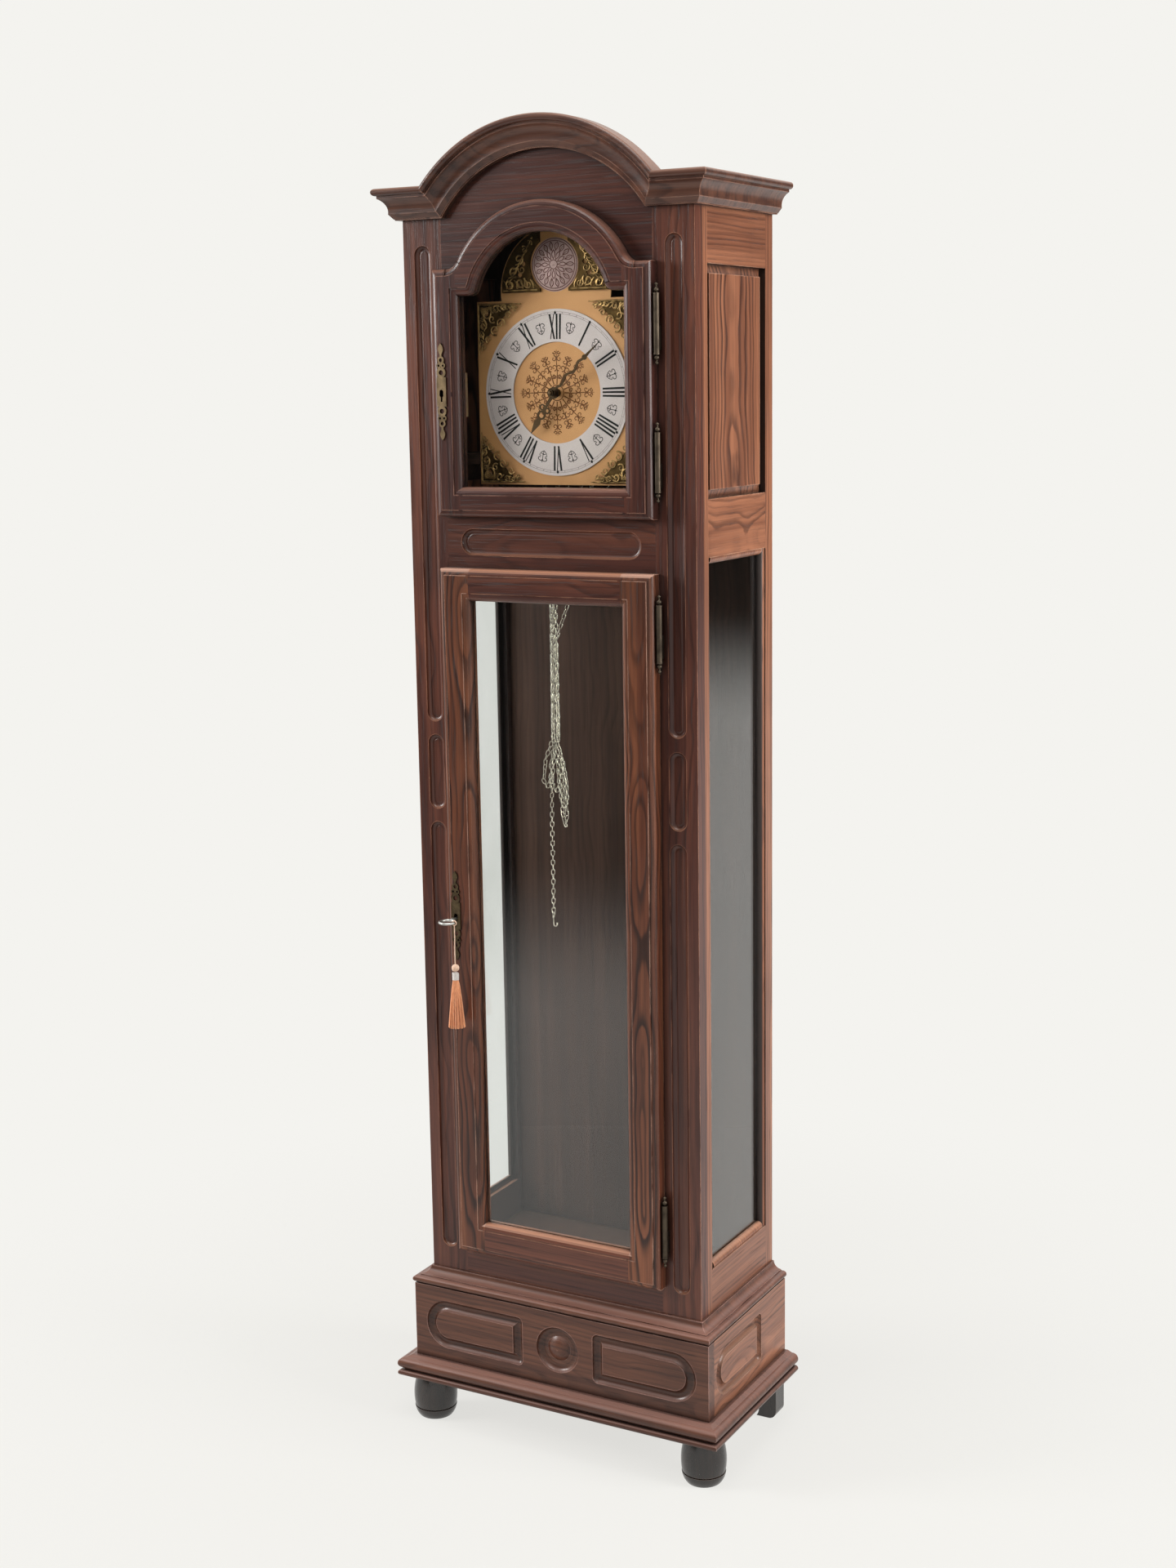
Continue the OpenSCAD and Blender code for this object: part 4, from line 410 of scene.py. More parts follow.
# %% Make the oak
def oak(name, axes, tones, face, heart, cut=0.03, lean=0.01, swell=0.03, ring=0.0065,
        wave=5.2, ripple=(48, 9, 0.005), bold=0.8, seams=(), gloss=0.32, polish=1.0,
        dust=0.35, corner=(0.25, 0.9), pair=True, two_sided=False):
    """Stained oak. The axes name a board's width, thickness and grain; heart and cut say where the
    trunk's middle lay across it and behind its face, lean and swell how that middle wandered along the
    board, ring how wide a year's growth was, and wave and ripple how the rings wave."""
    made = material(name)
    board = apart_along(made, axes, pair and axes[2] != "x")
    early, flat = year_rings(made, board, heart, face, cut, lean, swell, ring, wave, ripple)
    # Broad streaks, fine fibres, and the short dashes that are the open pores
    streak = steps(made, noise(made, mapped(made, flat, scale=(46, 46, 1.3)), 1.0, 3.0), 0.36, 0.64)
    fibre = noise(made, mapped(made, flat, scale=(260, 260, 6)), 1.0, 3.0, 0.6)
    dashes = noise(made, mapped(made, flat, scale=(640, 640, 17)), 1.0, 2.0, 0.5)
    crowded = maths(made, "ADD", maths(made, "MULTIPLY", early, 0.75), 0.25)
    pores = maths(made, "MULTIPLY", steps(made, dashes, 0.54, 0.64), crowded)
    smoke = noise(made, object_place(made), 4.5, 3.0)
    tone = blend(made, streak, tones["light"], tones["mid"])
    tone = blend(made, maths(made, "MULTIPLY", early, bold), tone, tones["deep"])
    fibres = maths(made, "MULTIPLY", steps(made, fibre, 0.42, 0.8), 0.3 + 0.15 * polish)
    tone = blend(made, fibres, tone, tones["deep"])
    tone = blend(made, maths(made, "MULTIPLY", pores, 0.6 * min(1.0, polish)), tone, tones["deep"])
    smoked = maths(made, "MULTIPLY", steps(made, smoke, 0.42, 0.78), 0.4)
    tone = blend(made, smoked, tone, tones["deep"])
    # Painted highlight: faces that look up blend towards the pale tone, as if lit from above
    tone = blend(made, maths(made, "MULTIPLY", upward(made), dust), tone, tones["worn_and_sheen"])
    tone = blend(made, maths(made, "MULTIPLY", worn_edges(made, seams), 0.8), tone, tones["worn_and_sheen"])
    # Painted shade: the side's faces that look into the case darken towards a dark brown
    if two_sided:
        tone = blend(made, inside_case_shade(made), tone, rgb(40, 28, 24))
    # Painted shade: corners and grooves that Ambient Occlusion finds shut in darken towards near black
    painted_shade = maths(made, "MULTIPLY", painted_corner_shade(made, 0.016, *corner), 0.86)
    tone = blend(made, painted_shade, tone, rgb(18, 9, 7))
    rough = maths(made, "ADD", gloss, maths(made, "MULTIPLY", pores, 0.25))
    relief = maths(made, "SUBTRACT", maths(made, "MULTIPLY", fibre, 0.4), pores)
    bump = add(made, "Bump", None, Strength=0.25, Distance=0.0004, Height=relief)
    shader = add(
        made, "BsdfPrincipled", None,
        Base_Color=tone, Roughness=rough, Normal=bump.outputs[0],
        Specular_IOR_Level=0.36 * polish, Coat_Weight=0.12 * polish, Coat_Roughness=0.2,
    )
    return finish_with(made, shader.outputs[0])


print("oak recipe ready")

# %% Mix the stains
def stain(deep, mid, light, worn_and_sheen):
    """A stain's four tones: in the pores, on the two kinds of wood, and on worn edges and painted
    highlights.
    """
    return {"deep": rgb(*deep), "mid": rgb(*mid), "light": rgb(*light), "worn_and_sheen": rgb(*worn_and_sheen)}


HEAD = stain((30, 14, 11), (64, 33, 27), (86, 47, 36), (176, 128, 108))
FRONT = stain((36, 17, 14), (82, 45, 36), (108, 62, 46), (192, 138, 110))
CORNICE = stain((34, 18, 14), (76, 46, 36), (98, 62, 47), (184, 138, 116))
DOOR = stain((38, 18, 12), (96, 53, 36), (130, 78, 52), (218, 172, 150))
PLINTH = stain((30, 16, 12), (84, 49, 36), (104, 64, 47), (196, 154, 142))
# The sides' tones are lighter than the front's, a painted light from the right
SIDE = stain((64, 35, 25), (127, 79, 57), (159, 104, 76), (214, 168, 142))
# Darker than the outside's tones: painted shade inside the case
INSIDE = stain((30, 20, 16), (54, 38, 31), (66, 47, 38), (84, 62, 52))
BLACKENED = stain((14, 11, 10), (33, 26, 23), (48, 38, 34), (112, 92, 82))
print("the door's light tone:", [round(part, 3) for part in DOOR["light"][:3]])

# %% Find the joints that stay dark
def seam_of(node_name, axis):
    """Where a piece ends, as the axis and the place of a joint."""
    return axis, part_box(node_name)[1]["xyz".index(axis)]


RAIL_SEAM = seam_of("front_rails", "x")
FRIEZE_SEAM = seam_of("frieze_board", "x")
FRONT_BACK = seam_of("front_stiles", "y")
SIDE_FRONT = ("y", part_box("side_rails")[0][1])
SIDE_BACK = seam_of("side_rails", "y")
SILL_SEAM = seam_of("hood_door_sill", "x")
HEAD_SEAM = seam_of("hood_door_sill", "z")
DOOR_SEAM = seam_of("trunk_door_rails", "x")
PLINTH_SEAM = seam_of("plinth_front", "y")
ARCH_SEAM = seam_of("cornice_arch", "x")
print("the front's rails end at", round(RAIL_SEAM[1] * 1000, 1), "mm from the middle")

# %% Give the front's boards their oak
# How open a corner is where its painted shade is darkest and where there is none: routed boards are
# shaded sooner
GROOVED = (0.5, 1.0)


def dress(node_name, made):
    """Gives a CAD piece its material."""
    target = nodes[node_name]
    target.data.materials.clear()
    target.data.materials.append(made)


def board(node_name, axes, tones, heart, **facts):
    """Gives a CAD piece its own oak, with the rings counted from its face."""
    low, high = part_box(node_name)
    face = high[0] if axes[1] == "x" else (high[2] if axes[1] == "z" else low[1])
    dress(node_name, oak("oak_" + node_name, axes, tones, face, heart, **facts))


board("front_stiles", "xyz", FRONT, 0.30, cut=0.10, swell=0.02, ring=0.008, bold=0.55,
      seams=(RAIL_SEAM, FRIEZE_SEAM, FRONT_BACK))
board("front_rails", "zyx", FRONT, 1.32, cut=0.05, swell=0.03, bold=0.5, seams=(RAIL_SEAM,))
board("frieze_board", "zyx", HEAD, 1.55, cut=0.10, swell=0.03, bold=0.45, seams=(FRIEZE_SEAM,))
board("cornice_arch", "zyx", CORNICE, 1.70, cut=0.12, ring=0.009, bold=0.5, seams=(ARCH_SEAM,))
board("cornice_straights", "zyx", CORNICE, 1.70, cut=0.12, ring=0.009, bold=0.5, seams=(ARCH_SEAM,))
board("hood_door_stiles", "xyz", HEAD, 0.30, cut=0.06, ring=0.007, bold=0.55,
      seams=(SILL_SEAM, HEAD_SEAM))
board("hood_door_sill", "zyx", HEAD, 1.30, cut=0.06, bold=0.5, seams=(SILL_SEAM, HEAD_SEAM))
board("hood_door_head", "zyx", HEAD, 1.62, cut=0.06, bold=0.5, seams=(SILL_SEAM, HEAD_SEAM))
board("hood_glass_beads", "zyx", HEAD, 1.50, cut=0.08, bold=0.4, dust=0.7)
board("trunk_door_stiles", "xyz", DOOR, 0.146, cut=0.010, lean=0.004, swell=0.045, ring=0.0075,
      wave=3.0, ripple=(30, 5, 0.009), bold=0.95, seams=(DOOR_SEAM,), dust=0.75)
board("trunk_door_rails", "zyx", FRONT, 1.24, cut=0.05, swell=0.03, bold=0.5, seams=(DOOR_SEAM,),
      dust=0.75)
board("trunk_glass_beads", "xyz", DOOR, 0.10, cut=0.06, bold=0.4)
print("boards dressed so far:", sum(1 for m in bpy.data.materials if m.name.startswith("oak_")))

# %% Give the plinth, the sides and the inside their oak
board("waist_moulding", "zyx", PLINTH, 0.20, cut=0.10, ring=0.009, bold=0.35, dust=0.25)
board("plinth_front", "zyx", PLINTH, 0.11, cut=0.035, lean=0.03, swell=0.025, bold=0.35,
      seams=(PLINTH_SEAM,), corner=GROOVED)
board("base_moulding", "zyx", PLINTH, 0.05, cut=0.10, ring=0.009, bold=0.35, dust=0.25)
board("plinth_sides", "zxy", SIDE, 0.13, cut=0.04, lean=0.03, bold=0.6, seams=(PLINTH_SEAM,),
      corner=GROOVED)
board("side_stiles", "yxz", SIDE, 0.30, cut=0.09, swell=0.02, ring=0.007, bold=0.6,
      seams=(FRONT_BACK, SIDE_FRONT, SIDE_BACK), two_sided=True)
board("side_rails", "zxy", SIDE, 1.33, cut=0.05, bold=0.6, seams=(SIDE_FRONT, SIDE_BACK),
      two_sided=True)
board("side_panels", "yxz", SIDE, 0.035, cut=0.020, lean=0.02, swell=0.022, ring=0.0075, bold=0.95)
board("side_glass_beads", "yxz", SIDE, 0.20, cut=0.08, bold=0.4, two_sided=True)
# Boards inside the case are stained but never polished, and their dark tones are painted shade
RAW = {"bold": 0.4, "gloss": 0.6, "polish": 0.3, "dust": 0.1}
board("back_panel", "xyz", INSIDE, 0.05, pair=False, cut=0.05, lean=0.03, ring=0.009, **RAW)
board("trunk_floor", "yzx", INSIDE, 0.10, cut=0.08, **RAW)
board("top_board", "yzx", INSIDE, 0.10, cut=0.08, **RAW)
board("seat_board", "yzx", INSIDE, 0.10, cut=0.08, **RAW)
for node_name in ("bun_feet", "bracket_feet"):
    board(node_name, "xyz", BLACKENED, 0.20, cut=0.05, bold=0.5, gloss=0.22, polish=1.7, dust=0.15)
print("oak materials:", sum(1 for m in bpy.data.materials if m.name.startswith("oak_")))

# %% [markdown]
# ## Glass
# Window glass is modelled as a real sheet, a few millimetres thick. It shows what is behind it and
# reflects a little of the room. Light for the inside passes it freely, which the shadow rays of the
# Light Path node give, because a path tracer finds few ways for light through two panes.

# %% Make the glass
PANES = ("side_glass", "hood_glass", "trunk_glass")


def window_glass():
    """Clear sheet glass with a faint, uneven tint, which lets the light of the lamps through."""
    made = material("window_glass")
    film = noise(made, mapped(made, object_place(made), scale=(3, 3, 1.2)), 2.0, 4.0)
    tint = blend(made, steps(made, film, 0.4, 0.8), rgb(251, 253, 252), rgb(236, 240, 237))
    sheet = add(
        made, "BsdfPrincipled", None,
        Base_Color=tint, Roughness=0.0, IOR=1.5, Transmission_Weight=1.0,
    )
    clear = add(made, "BsdfTransparent", None, Color=rgb(240, 243, 242))
    path = add(made, "LightPath")
    mixed = add(
        made, "MixShader", None,
        i0=path.outputs["Is Shadow Ray"], i1=sheet.outputs[0], i2=clear.outputs[0],
    )
    return finish_with(made, mixed.outputs[0])


glass = window_glass()
for node_name in PANES:
    dress(node_name, glass)
print("pieces of glass:", len(PANES))

# %% [markdown]
# ## Metals
# The castings are antiqued, the escutcheons and hinges dull, the hands dark, and the movement is
# polished brass. Locks and rods are bright steel, and the chains pale plated wire. One recipe gives
# them all: a noise makes the patina, and Ambient Occlusion darkens the corners as painted shade.

# %% Write the metals' recipe
# Near black of the painted shade in a metal's corners
CORNER_SHADE = rgb(20, 14, 8)


def metal(name, bright, dull, rough, patina, corners, scale=60.0, reach=0.004):
    """Metal with a dull patina in patches, and painted shade in the corners that reach can find."""
    made = material(name)
    place = object_place(made)
    stain = noise(made, place, scale, 5.0, 0.6)
    tone = blend(made, maths(made, "MULTIPLY", steps(made, stain, 0.35, 0.7), patina), bright, dull)
    # Painted shade: corners that Ambient Occlusion finds shut in darken towards near black
    corner = painted_corner_shade(made, reach, 0.3, 0.95)
    tone = blend(made, maths(made, "MULTIPLY", corner, corners), tone, CORNER_SHADE)
    fine = noise(made, place, scale * 12, 2.0)
    roughness = maths(made, "ADD", rough, maths(made, "MULTIPLY", stain, 0.2))
    bump = add(made, "Bump", None, Strength=0.2, Distance=0.0002, Height=fine)
    shader = add(
        made, "BsdfPrincipled", None,
        Base_Color=tone, Metallic=1.0, Roughness=roughness, Normal=bump.outputs[0],
    )
    return finish_with(made, shader.outputs[0])


cast_bronze = metal("cast_antique_bronze", rgb(92, 70, 40), rgb(44, 32, 18), 0.38, 0.75, 0.9)
# Paler brass for the castings' wires: partly rubbed wear, partly a painted highlight
cast_gold = metal(
    "rubbed_highlit_cast_brass", rgb(186, 150, 98), rgb(70, 53, 34), 0.30, 0.85, 0.98, 90.0, reach=0.003,
)
plate_brass = metal("escutcheon_brass", rgb(108, 93, 70), rgb(46, 38, 29), 0.36, 0.85, 0.95)
hood_brass = metal("hood_escutcheon_brass", rgb(130, 111, 84), rgb(58, 48, 37), 0.36, 0.75, 0.95)
hinge_brass = metal("hinge_antique_brass", rgb(84, 74, 63), rgb(40, 35, 30), 0.36, 0.7, 0.85)
hand_bronze = metal("hand_bronze", rgb(82, 65, 47), rgb(46, 37, 28), 0.36, 0.5, 0.6)
bright_brass = metal("movement_brass", rgb(214, 182, 110), rgb(170, 134, 70), 0.22, 0.4, 0.5)
bright_steel = metal("bright_steel", rgb(200, 200, 196), rgb(150, 148, 142), 0.24, 0.4, 0.6)
chain_metal = metal(
    "chain_metal", rgb(255, 250, 234), rgb(220, 208, 182), 0.14, 0.4, 0.8, 200.0, reach=0.0045,
)
print("last metal mixed:", chain_metal.name)

# %% Give the metals to their pieces
METAL_PIECES = (
    (cast_bronze, ("spandrels",)),
    (hood_brass, ("hood_escutcheon",)),
    (plate_brass, ("trunk_escutcheon",)),
    (hinge_brass, ("case_hinge_halves", "hood_hinge_halves", "trunk_hinge_halves")),
    (hand_bronze, ("hour_hand", "minute_hand", "hand_nut")),
    (bright_brass, ("movement_plates", "movement_pillars", "centre_wheel", "minute_wheel")),
    (bright_brass, ("hour_wheel", "time_chain_wheel", "strike_chain_wheel", "chime_chain_wheel")),
    (bright_brass, ("strike_hammer", "hood_bolt", "trunk_bolt")),
    (bright_steel, ("hood_lock", "trunk_lock", "door_key", "pendulum_leader", "gong_rods")),
)
for made, node_names in METAL_PIECES:
    for node_name in node_names:
        dress(node_name, made)
print("pieces in metal:", sum(len(node_names) for made, node_names in METAL_PIECES))

# %% [markdown]
# ## The dial's metals
# The plate is gilt and matt, and the ring is silvered with a faint pink cast. Both are brushed very
# finely in circles, which a noise on the distance from the dial's centre gives.

# %% Measure the dial
ring_low, ring_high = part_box("chapter_ring")
boss_low, boss_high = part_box("arch_boss")
DIAL_Z = (ring_low[2] + ring_high[2]) / 2
RING_R = (ring_high[0] - ring_low[0]) / 2
BOSS_Z = (boss_low[2] + boss_high[2]) / 2
BOSS_R = (boss_high[0] - boss_low[0]) / 2
PLATE_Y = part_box("dial_plate")[0][1]
RING_Y = ring_low[1]
print("ring radius:", round(RING_R * 1000, 1), "mm")

# %% Make the dial's metals
BRUSH_RINGS = 900.0


def dial_metal(name, bright, dull, centre_z, rough, metallic):
    """Metal brushed in circles round a centre, with faint clouds in its colour."""
    made = material(name)
    centred = mapped(made, object_place(made), place=(0, 0, -centre_z))
    apart = add(made, "SeparateXYZ", None, Vector=centred).outputs
    squares = maths(made, "ADD", maths(made, "POWER", apart[0], 2), maths(made, "POWER", apart[2], 2))
    radius = maths(made, "SQRT", squares)
    spun = add(made, "CombineXYZ", None, X=maths(made, "MULTIPLY", radius, BRUSH_RINGS)).outputs[0]
    brushed = noise(made, spun, 1.0, 2.0)
    cloud = noise(made, centred, 14.0, 4.0)
    tone = blend(made, maths(made, "MULTIPLY", steps(made, cloud, 0.3, 0.75), 0.5), bright, dull)
    tone = blend(made, maths(made, "MULTIPLY", brushed, 0.18), tone, dull)
    roughness = maths(made, "ADD", rough, maths(made, "MULTIPLY", brushed, 0.14))
    bump = add(made, "Bump", None, Strength=0.12, Distance=0.0002, Height=brushed)
    shader = add(
        made, "BsdfPrincipled", None,
        Base_Color=tone, Metallic=metallic, Roughness=roughness, Normal=bump.outputs[0],
    )
    return finish_with(made, shader.outputs[0])


gilt = dial_metal("gilt_plate", rgb(184, 135, 86), rgb(164, 115, 69), DIAL_Z, 0.46, 0.4)
silvered = dial_metal("silvered_ring", rgb(187, 174, 170), rgb(169, 156, 153), DIAL_Z, 0.44, 0.3)
boss_silver = dial_metal("silvered_boss", rgb(178, 150, 144), rgb(138, 110, 104), BOSS_Z, 0.40, 0.5)
dress("dial_plate", gilt)
dress("chapter_ring", silvered)
dress("arch_boss", boss_silver)
print("dial metals:", gilt.name, silvered.name, boss_silver.name)

# %% Mix the dial's inks
FADED = rgb(70, 58, 52)


def ink(name, colour):
    """Ink, or the wax in an engraved line, a little faded in patches."""
    made = material(name)
    fade = noise(made, object_place(made), 90.0, 4.0)
    faded = maths(made, "MULTIPLY", steps(made, fade, 0.4, 0.8), 0.2)
    tone = blend(made, faded, colour, FADED)
    shader = add(
        made, "BsdfPrincipled", None, Base_Color=tone, Roughness=0.5, Specular_IOR_Level=0.15,
    )
    return finish_with(made, shader.outputs[0])


dial_ink = ink("dial_ink", rgb(16, 13, 15))
grey_ink = ink("grey_ink", rgb(74, 66, 70))
engraving = ink("engraved_brown", rgb(98, 57, 25))
print("inks:", dial_ink.name, grey_ink.name, engraving.name)

# %% [markdown]
# ## The dial's printing
# Numerals and marks are thin flat pieces laid on the ring. Each is a flat curve with a little
# thickness, so its outline needs only its own corner points. A Roman figure is made of strokes, thick
# and thin, which a short table of letters gives. The minute track's two circles and the small ornaments
# are fine wires, squashed towards the ring.

# %% Helpers for flat pieces
def settle(piece, name, body="case"):
    """Turns a curve into a mesh in place, and lets it ride on a body."""
    bpy.ops.object.select_all(action="DESELECT")
    piece.select_set(True)
    bpy.context.view_layer.objects.active = piece
    bpy.ops.object.convert(target="MESH")
    settled = bpy.context.active_object
    bpy.ops.object.transform_apply(location=True, rotation=True, scale=True)
    settled.name = name
    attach(settled, body)
    return settled


def flat_shapes(name, outlines, y, thick, paint):
    """Closed outlines in x and z as one thin piece whose back lies at y."""
    data = bpy.data.curves.new(name, "CURVE")
    data.dimensions = "2D"
    data.fill_mode = "BOTH"
    data.extrude = thick / 2
    for outline in outlines:
        spline = data.splines.new("POLY")
        spline.points.add(len(outline) - 1)
        for point, (x, z) in zip(spline.points, outline):
            point.co = (x, z, 0, 1)
        spline.use_cyclic_u = True
    piece = bpy.data.objects.new(name, data)
    bpy.context.scene.collection.objects.link(piece)
    piece.rotation_euler = (math.pi / 2, 0, 0)
    piece.location = (0, y - thick / 2, 0)
    data.materials.append(paint)
    return settle(piece, name)


def polar(radius, degrees, centre_z=DIAL_Z):
    """Point on the dial: the angle is clockwise from twelve o'clock."""
    turn = math.radians(degrees)
    return (radius * math.sin(turn), centre_z + radius * math.cos(turn))


print("three o'clock on the ring:", [round(v, 4) for v in polar(RING_R, 90)])

# %% Helpers for round wires
def round_wires(name, lines, radius, sides, paint, capped=True):
    """Round wires as one curve; each line is a list of points and how thick the wire is there."""
    data = bpy.data.curves.new(name, "CURVE")
    data.dimensions = "3D"
    data.bevel_depth = radius
    data.bevel_resolution = sides
    data.use_fill_caps = capped
    for line in lines:
        spline = data.splines.new("POLY")
        spline.points.add(len(line) - 1)
        for point, (spot, swell) in zip(spline.points, line):
            point.co = (*spot, 1)
            point.radius = swell
    piece = bpy.data.objects.new(name, data)
    bpy.context.scene.collection.objects.link(piece)
    data.materials.append(paint)
    return piece


def wires(name, runs, y, radius, paint, flat=0.6, sides=1):
    """Wires through points in x and z, squashed towards the plate behind them."""
    lines = [[((x, z, 0), swell) for x, z, swell in run] for run in runs]
    piece = round_wires(name, lines, radius, sides, paint)
    piece.rotation_euler = (math.pi / 2, 0, 0)
    piece.scale = (1, 1, flat)
    piece.location = (0, y, 0)
    return settle(piece, name)


def circle_wire(radius, points=120, centre_z=DIAL_Z):
    """A ring of points for a wire."""
    return [(*polar(radius, 360 * k / points, centre_z), 1.0) for k in range(points + 1)]


print("points in a ring:", len(circle_wire(RING_R)))

# %% Draw the numerals' strokes
FIGURE_R = 0.0720
FIGURE_H = 0.0335
THICK = 0.0029
THIN = 0.0014
# How wide a figure's foot is, as a share of its head
FOOT_SHARE = 0.86
LETTER_WIDTHS = {"I": 0.0055, "V": 0.0098, "X": 0.0102}
# Each stroke: where its foot and its head lie across the letter, and its breadth
LETTER_STROKES = {
    "I": ((0, 0, THICK),),
    "V": ((0.0006, -0.0032, THICK), (0.0006, 0.0034, THIN)),
    "X": ((0.0034, -0.0034, THICK), (-0.0034, 0.0034, THIN)),
}


def stroke(foot, head, breadth):
    """A slanted bar from the figure's foot to its head."""
    half = breadth / 2
    return [(foot - half, 0), (foot + half, 0), (head + half, FIGURE_H), (head - half, FIGURE_H)]


def figure_outlines(figure, degrees):
    """The bars of one figure, in its place on the ring."""
    turn = math.radians(degrees)
    outlines = []
    start = -sum(LETTER_WIDTHS[letter] for letter in figure) / 2
    for letter in figure:
        middle = start + LETTER_WIDTHS[letter] / 2
        for facts in LETTER_STROKES[letter]:
            outline = []
            for x, up in stroke(*facts):
                side = (middle + x) * (FOOT_SHARE + (1 - FOOT_SHARE) * up / FIGURE_H)
                base = polar(FIGURE_R + up, degrees)
                outline.append((base[0] + side * math.cos(turn), base[1] - side * math.sin(turn)))
            outlines.append(outline)
        start += LETTER_WIDTHS[letter]
    return outlines


print("bars in twelve:", len(figure_outlines("XII", 0)))

# %% Cut the numerals
FIGURES = ("XII", "I", "II", "III", "IIII", "V", "VI", "VII", "VIII", "IX", "X", "XI")
# Outlines that cross would cut each other out, so thick and thin strokes are two pieces
thick_bars = []
thin_bars = []
for hour, figure in enumerate(FIGURES):
    for bar in figure_outlines(figure, hour * 30):
        breadth = math.dist(bar[0], bar[1])
        (thick_bars if breadth > (THICK + THIN) / 2 else thin_bars).append(bar)
# Their thickness differs a little, so that no two faces lie in one plane
flat_shapes("numerals_thick", thick_bars, RING_Y, 0.00016, dial_ink)
flat_shapes("numerals_thin", thin_bars, RING_Y, 0.00014, dial_ink)
print("numeral strokes:", len(thick_bars) + len(thin_bars))

# %% Lay the minute track
HOUR_MARK_R = RING_R - 0.0052
TICK_IN = RING_R - 0.0066
TICK_OUT = RING_R - 0.0042
TRACK_RADII = (RING_R - 0.0067, RING_R - 0.0041)


def diamond(radius, degrees, size):
    """An hour's mark."""
    lean = math.degrees(size * 0.8 / radius)
    return [
        polar(radius + size, degrees), polar(radius, degrees + lean),
        polar(radius - size, degrees), polar(radius, degrees - lean),
    ]


def tick(inner, outer, degrees, width):
    """A minute's mark."""
    spread_in = math.degrees(width / 2 / inner)
    spread_out = math.degrees(width / 2 / outer)
    return [
        polar(inner, degrees - spread_in), polar(inner, degrees + spread_in),
        polar(outer, degrees + spread_out), polar(outer, degrees - spread_out),
    ]


marks = [diamond(HOUR_MARK_R, 30 * k, 0.0026) for k in range(12)]
marks += [tick(TICK_IN, TICK_OUT, 6 * k, 0.0003) for k in range(60) if k % 5]
flat_shapes("minute_marks", marks, RING_Y, 0.00018, dial_ink)
wires("minute_track", [circle_wire(r) for r in TRACK_RADII], RING_Y, 0.00016, grey_ink)
print("marks:", len(marks))

# %% Lay the half-hour ornaments
MOTIF_R = 0.0890
MOTIF_SIZE = 0.0082
MOTIF_CURL = 14
# Points of a leaf, across and up, in the ornament's own size
LEAF_LINE = ((0.1, -0.9), (0.5, -0.6), (0.75, -0.15), (0.4, 0.0))


def motif(degrees):
    """Half-hour ornament: a loop with two curled leaves and a stem."""
    runs = []
    turn = math.radians(degrees)

    def place(across, up):
        x, z = polar(MOTIF_R + up * MOTIF_SIZE, degrees)
        side = across * MOTIF_SIZE
        return (x + side * math.cos(turn), z - side * math.sin(turn), 1.0)

    for side in (-1, 1):
        curl = []
        for k in range(MOTIF_CURL + 1):
            bend = k / MOTIF_CURL
            angle = 0.4 + 4.6 * bend
            reach = 0.62 * (1 - 0.72 * bend)
            up = 0.35 + reach * math.sin(angle) * 0.8
            curl.append(place(side * (0.46 - reach * math.cos(angle)), up))
        runs.append(curl)
        runs.append([place(side * across, up) for across, up in LEAF_LINE])
    runs.append([place(0, -1.0), place(0.06, -0.3), place(0, 0.3), place(0, 1.0)])
    runs.append([place(-0.4, -0.45), place(0, -0.3), place(0.4, -0.45)])
    return runs


ornaments = [run for k in range(12) for run in motif(15 + 30 * k)]
wires("half_hour_ornaments", ornaments, RING_Y, 0.00048, dial_ink)
print("ornament lines:", len(ornaments))

# %% [markdown]
# ## The engraved centre
# The gilt centre carries an engraved rosette: sixteen stems from the middle that open into curled
# leaves. One leaf is drawn as spirals and repeated round the dial.

# %% Engrave the rosette
STEMS = 16
CURL_POINTS = 16


def spiral(centre_r, centre_a, size, start, turns, way):
    """A curl round a point of the dial, winding inwards."""
    run = []
    cx, cz = polar(centre_r, centre_a)
    for k in range(CURL_POINTS + 1):
        share = k / CURL_POINTS
        reach = size * (1 - 0.8 * share)
        angle = math.radians(centre_a) + start + way * turns * 2 * math.pi * share
        run.append((cx + reach * math.sin(angle), cz + reach * math.cos(angle), 1.2 - 0.5 * share))
    return run


rosette = []
for k in range(STEMS):
    a = 360 / STEMS * k
    # Every other stem is longer, and carries its two upper curls further out
    tip, upper, top = (0.058, 0.046, 0.0545) if k % 2 == 0 else (0.052, 0.043, 0.050)
    stem = ((0.012, a, 1.4), (0.026, a + 2, 1.0), (0.040, a, 0.9), (tip, a, 0.5))
    rosette.append([(*polar(radius, turn), swell) for radius, turn, swell in stem])
    for way in (-1, 1):
        rosette.append(spiral(0.022, a + way * 7, 0.0034, math.pi * 0.2 * way, 1.0, way))
        rosette.append(spiral(0.034, a + way * 6.5, 0.0046, math.pi, 1.1, way))
        rosette.append(spiral(upper, a + way * 5.2, 0.0042, 0, 1.1, -way))
        rosette.append(spiral(top, a + way * 3.2, 0.0028, math.pi / 2 * way, 1.0, way))
rosette.append(circle_wire(0.0105, 48))
wires("engraved_rosette", rosette, PLATE_Y, 0.00065, engraving, flat=0.35)
print("rosette lines:", len(rosette))

# %% [markdown]
# ## Cast corner ornaments
# The corners and the arch carry pierced castings of scrolls and leaves. The CAD has their outline,
# thickness and main piercings. On it lie C-scrolls and leaf ribs of round wire that thicken and thin,
# with a shell in the corner. The wires are paler than the ground between them, which stays dark:
# partly rubbed wear, partly a painted highlight.

# %% Helpers for scrolls and leaves
SPAN_LOW, SPAN_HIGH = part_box("spandrels")
SCROLL_POINTS = 20
# How much of a scroll's size is left at its heart
SCROLL_HEART = 0.22
LEAF_POINTS = 8


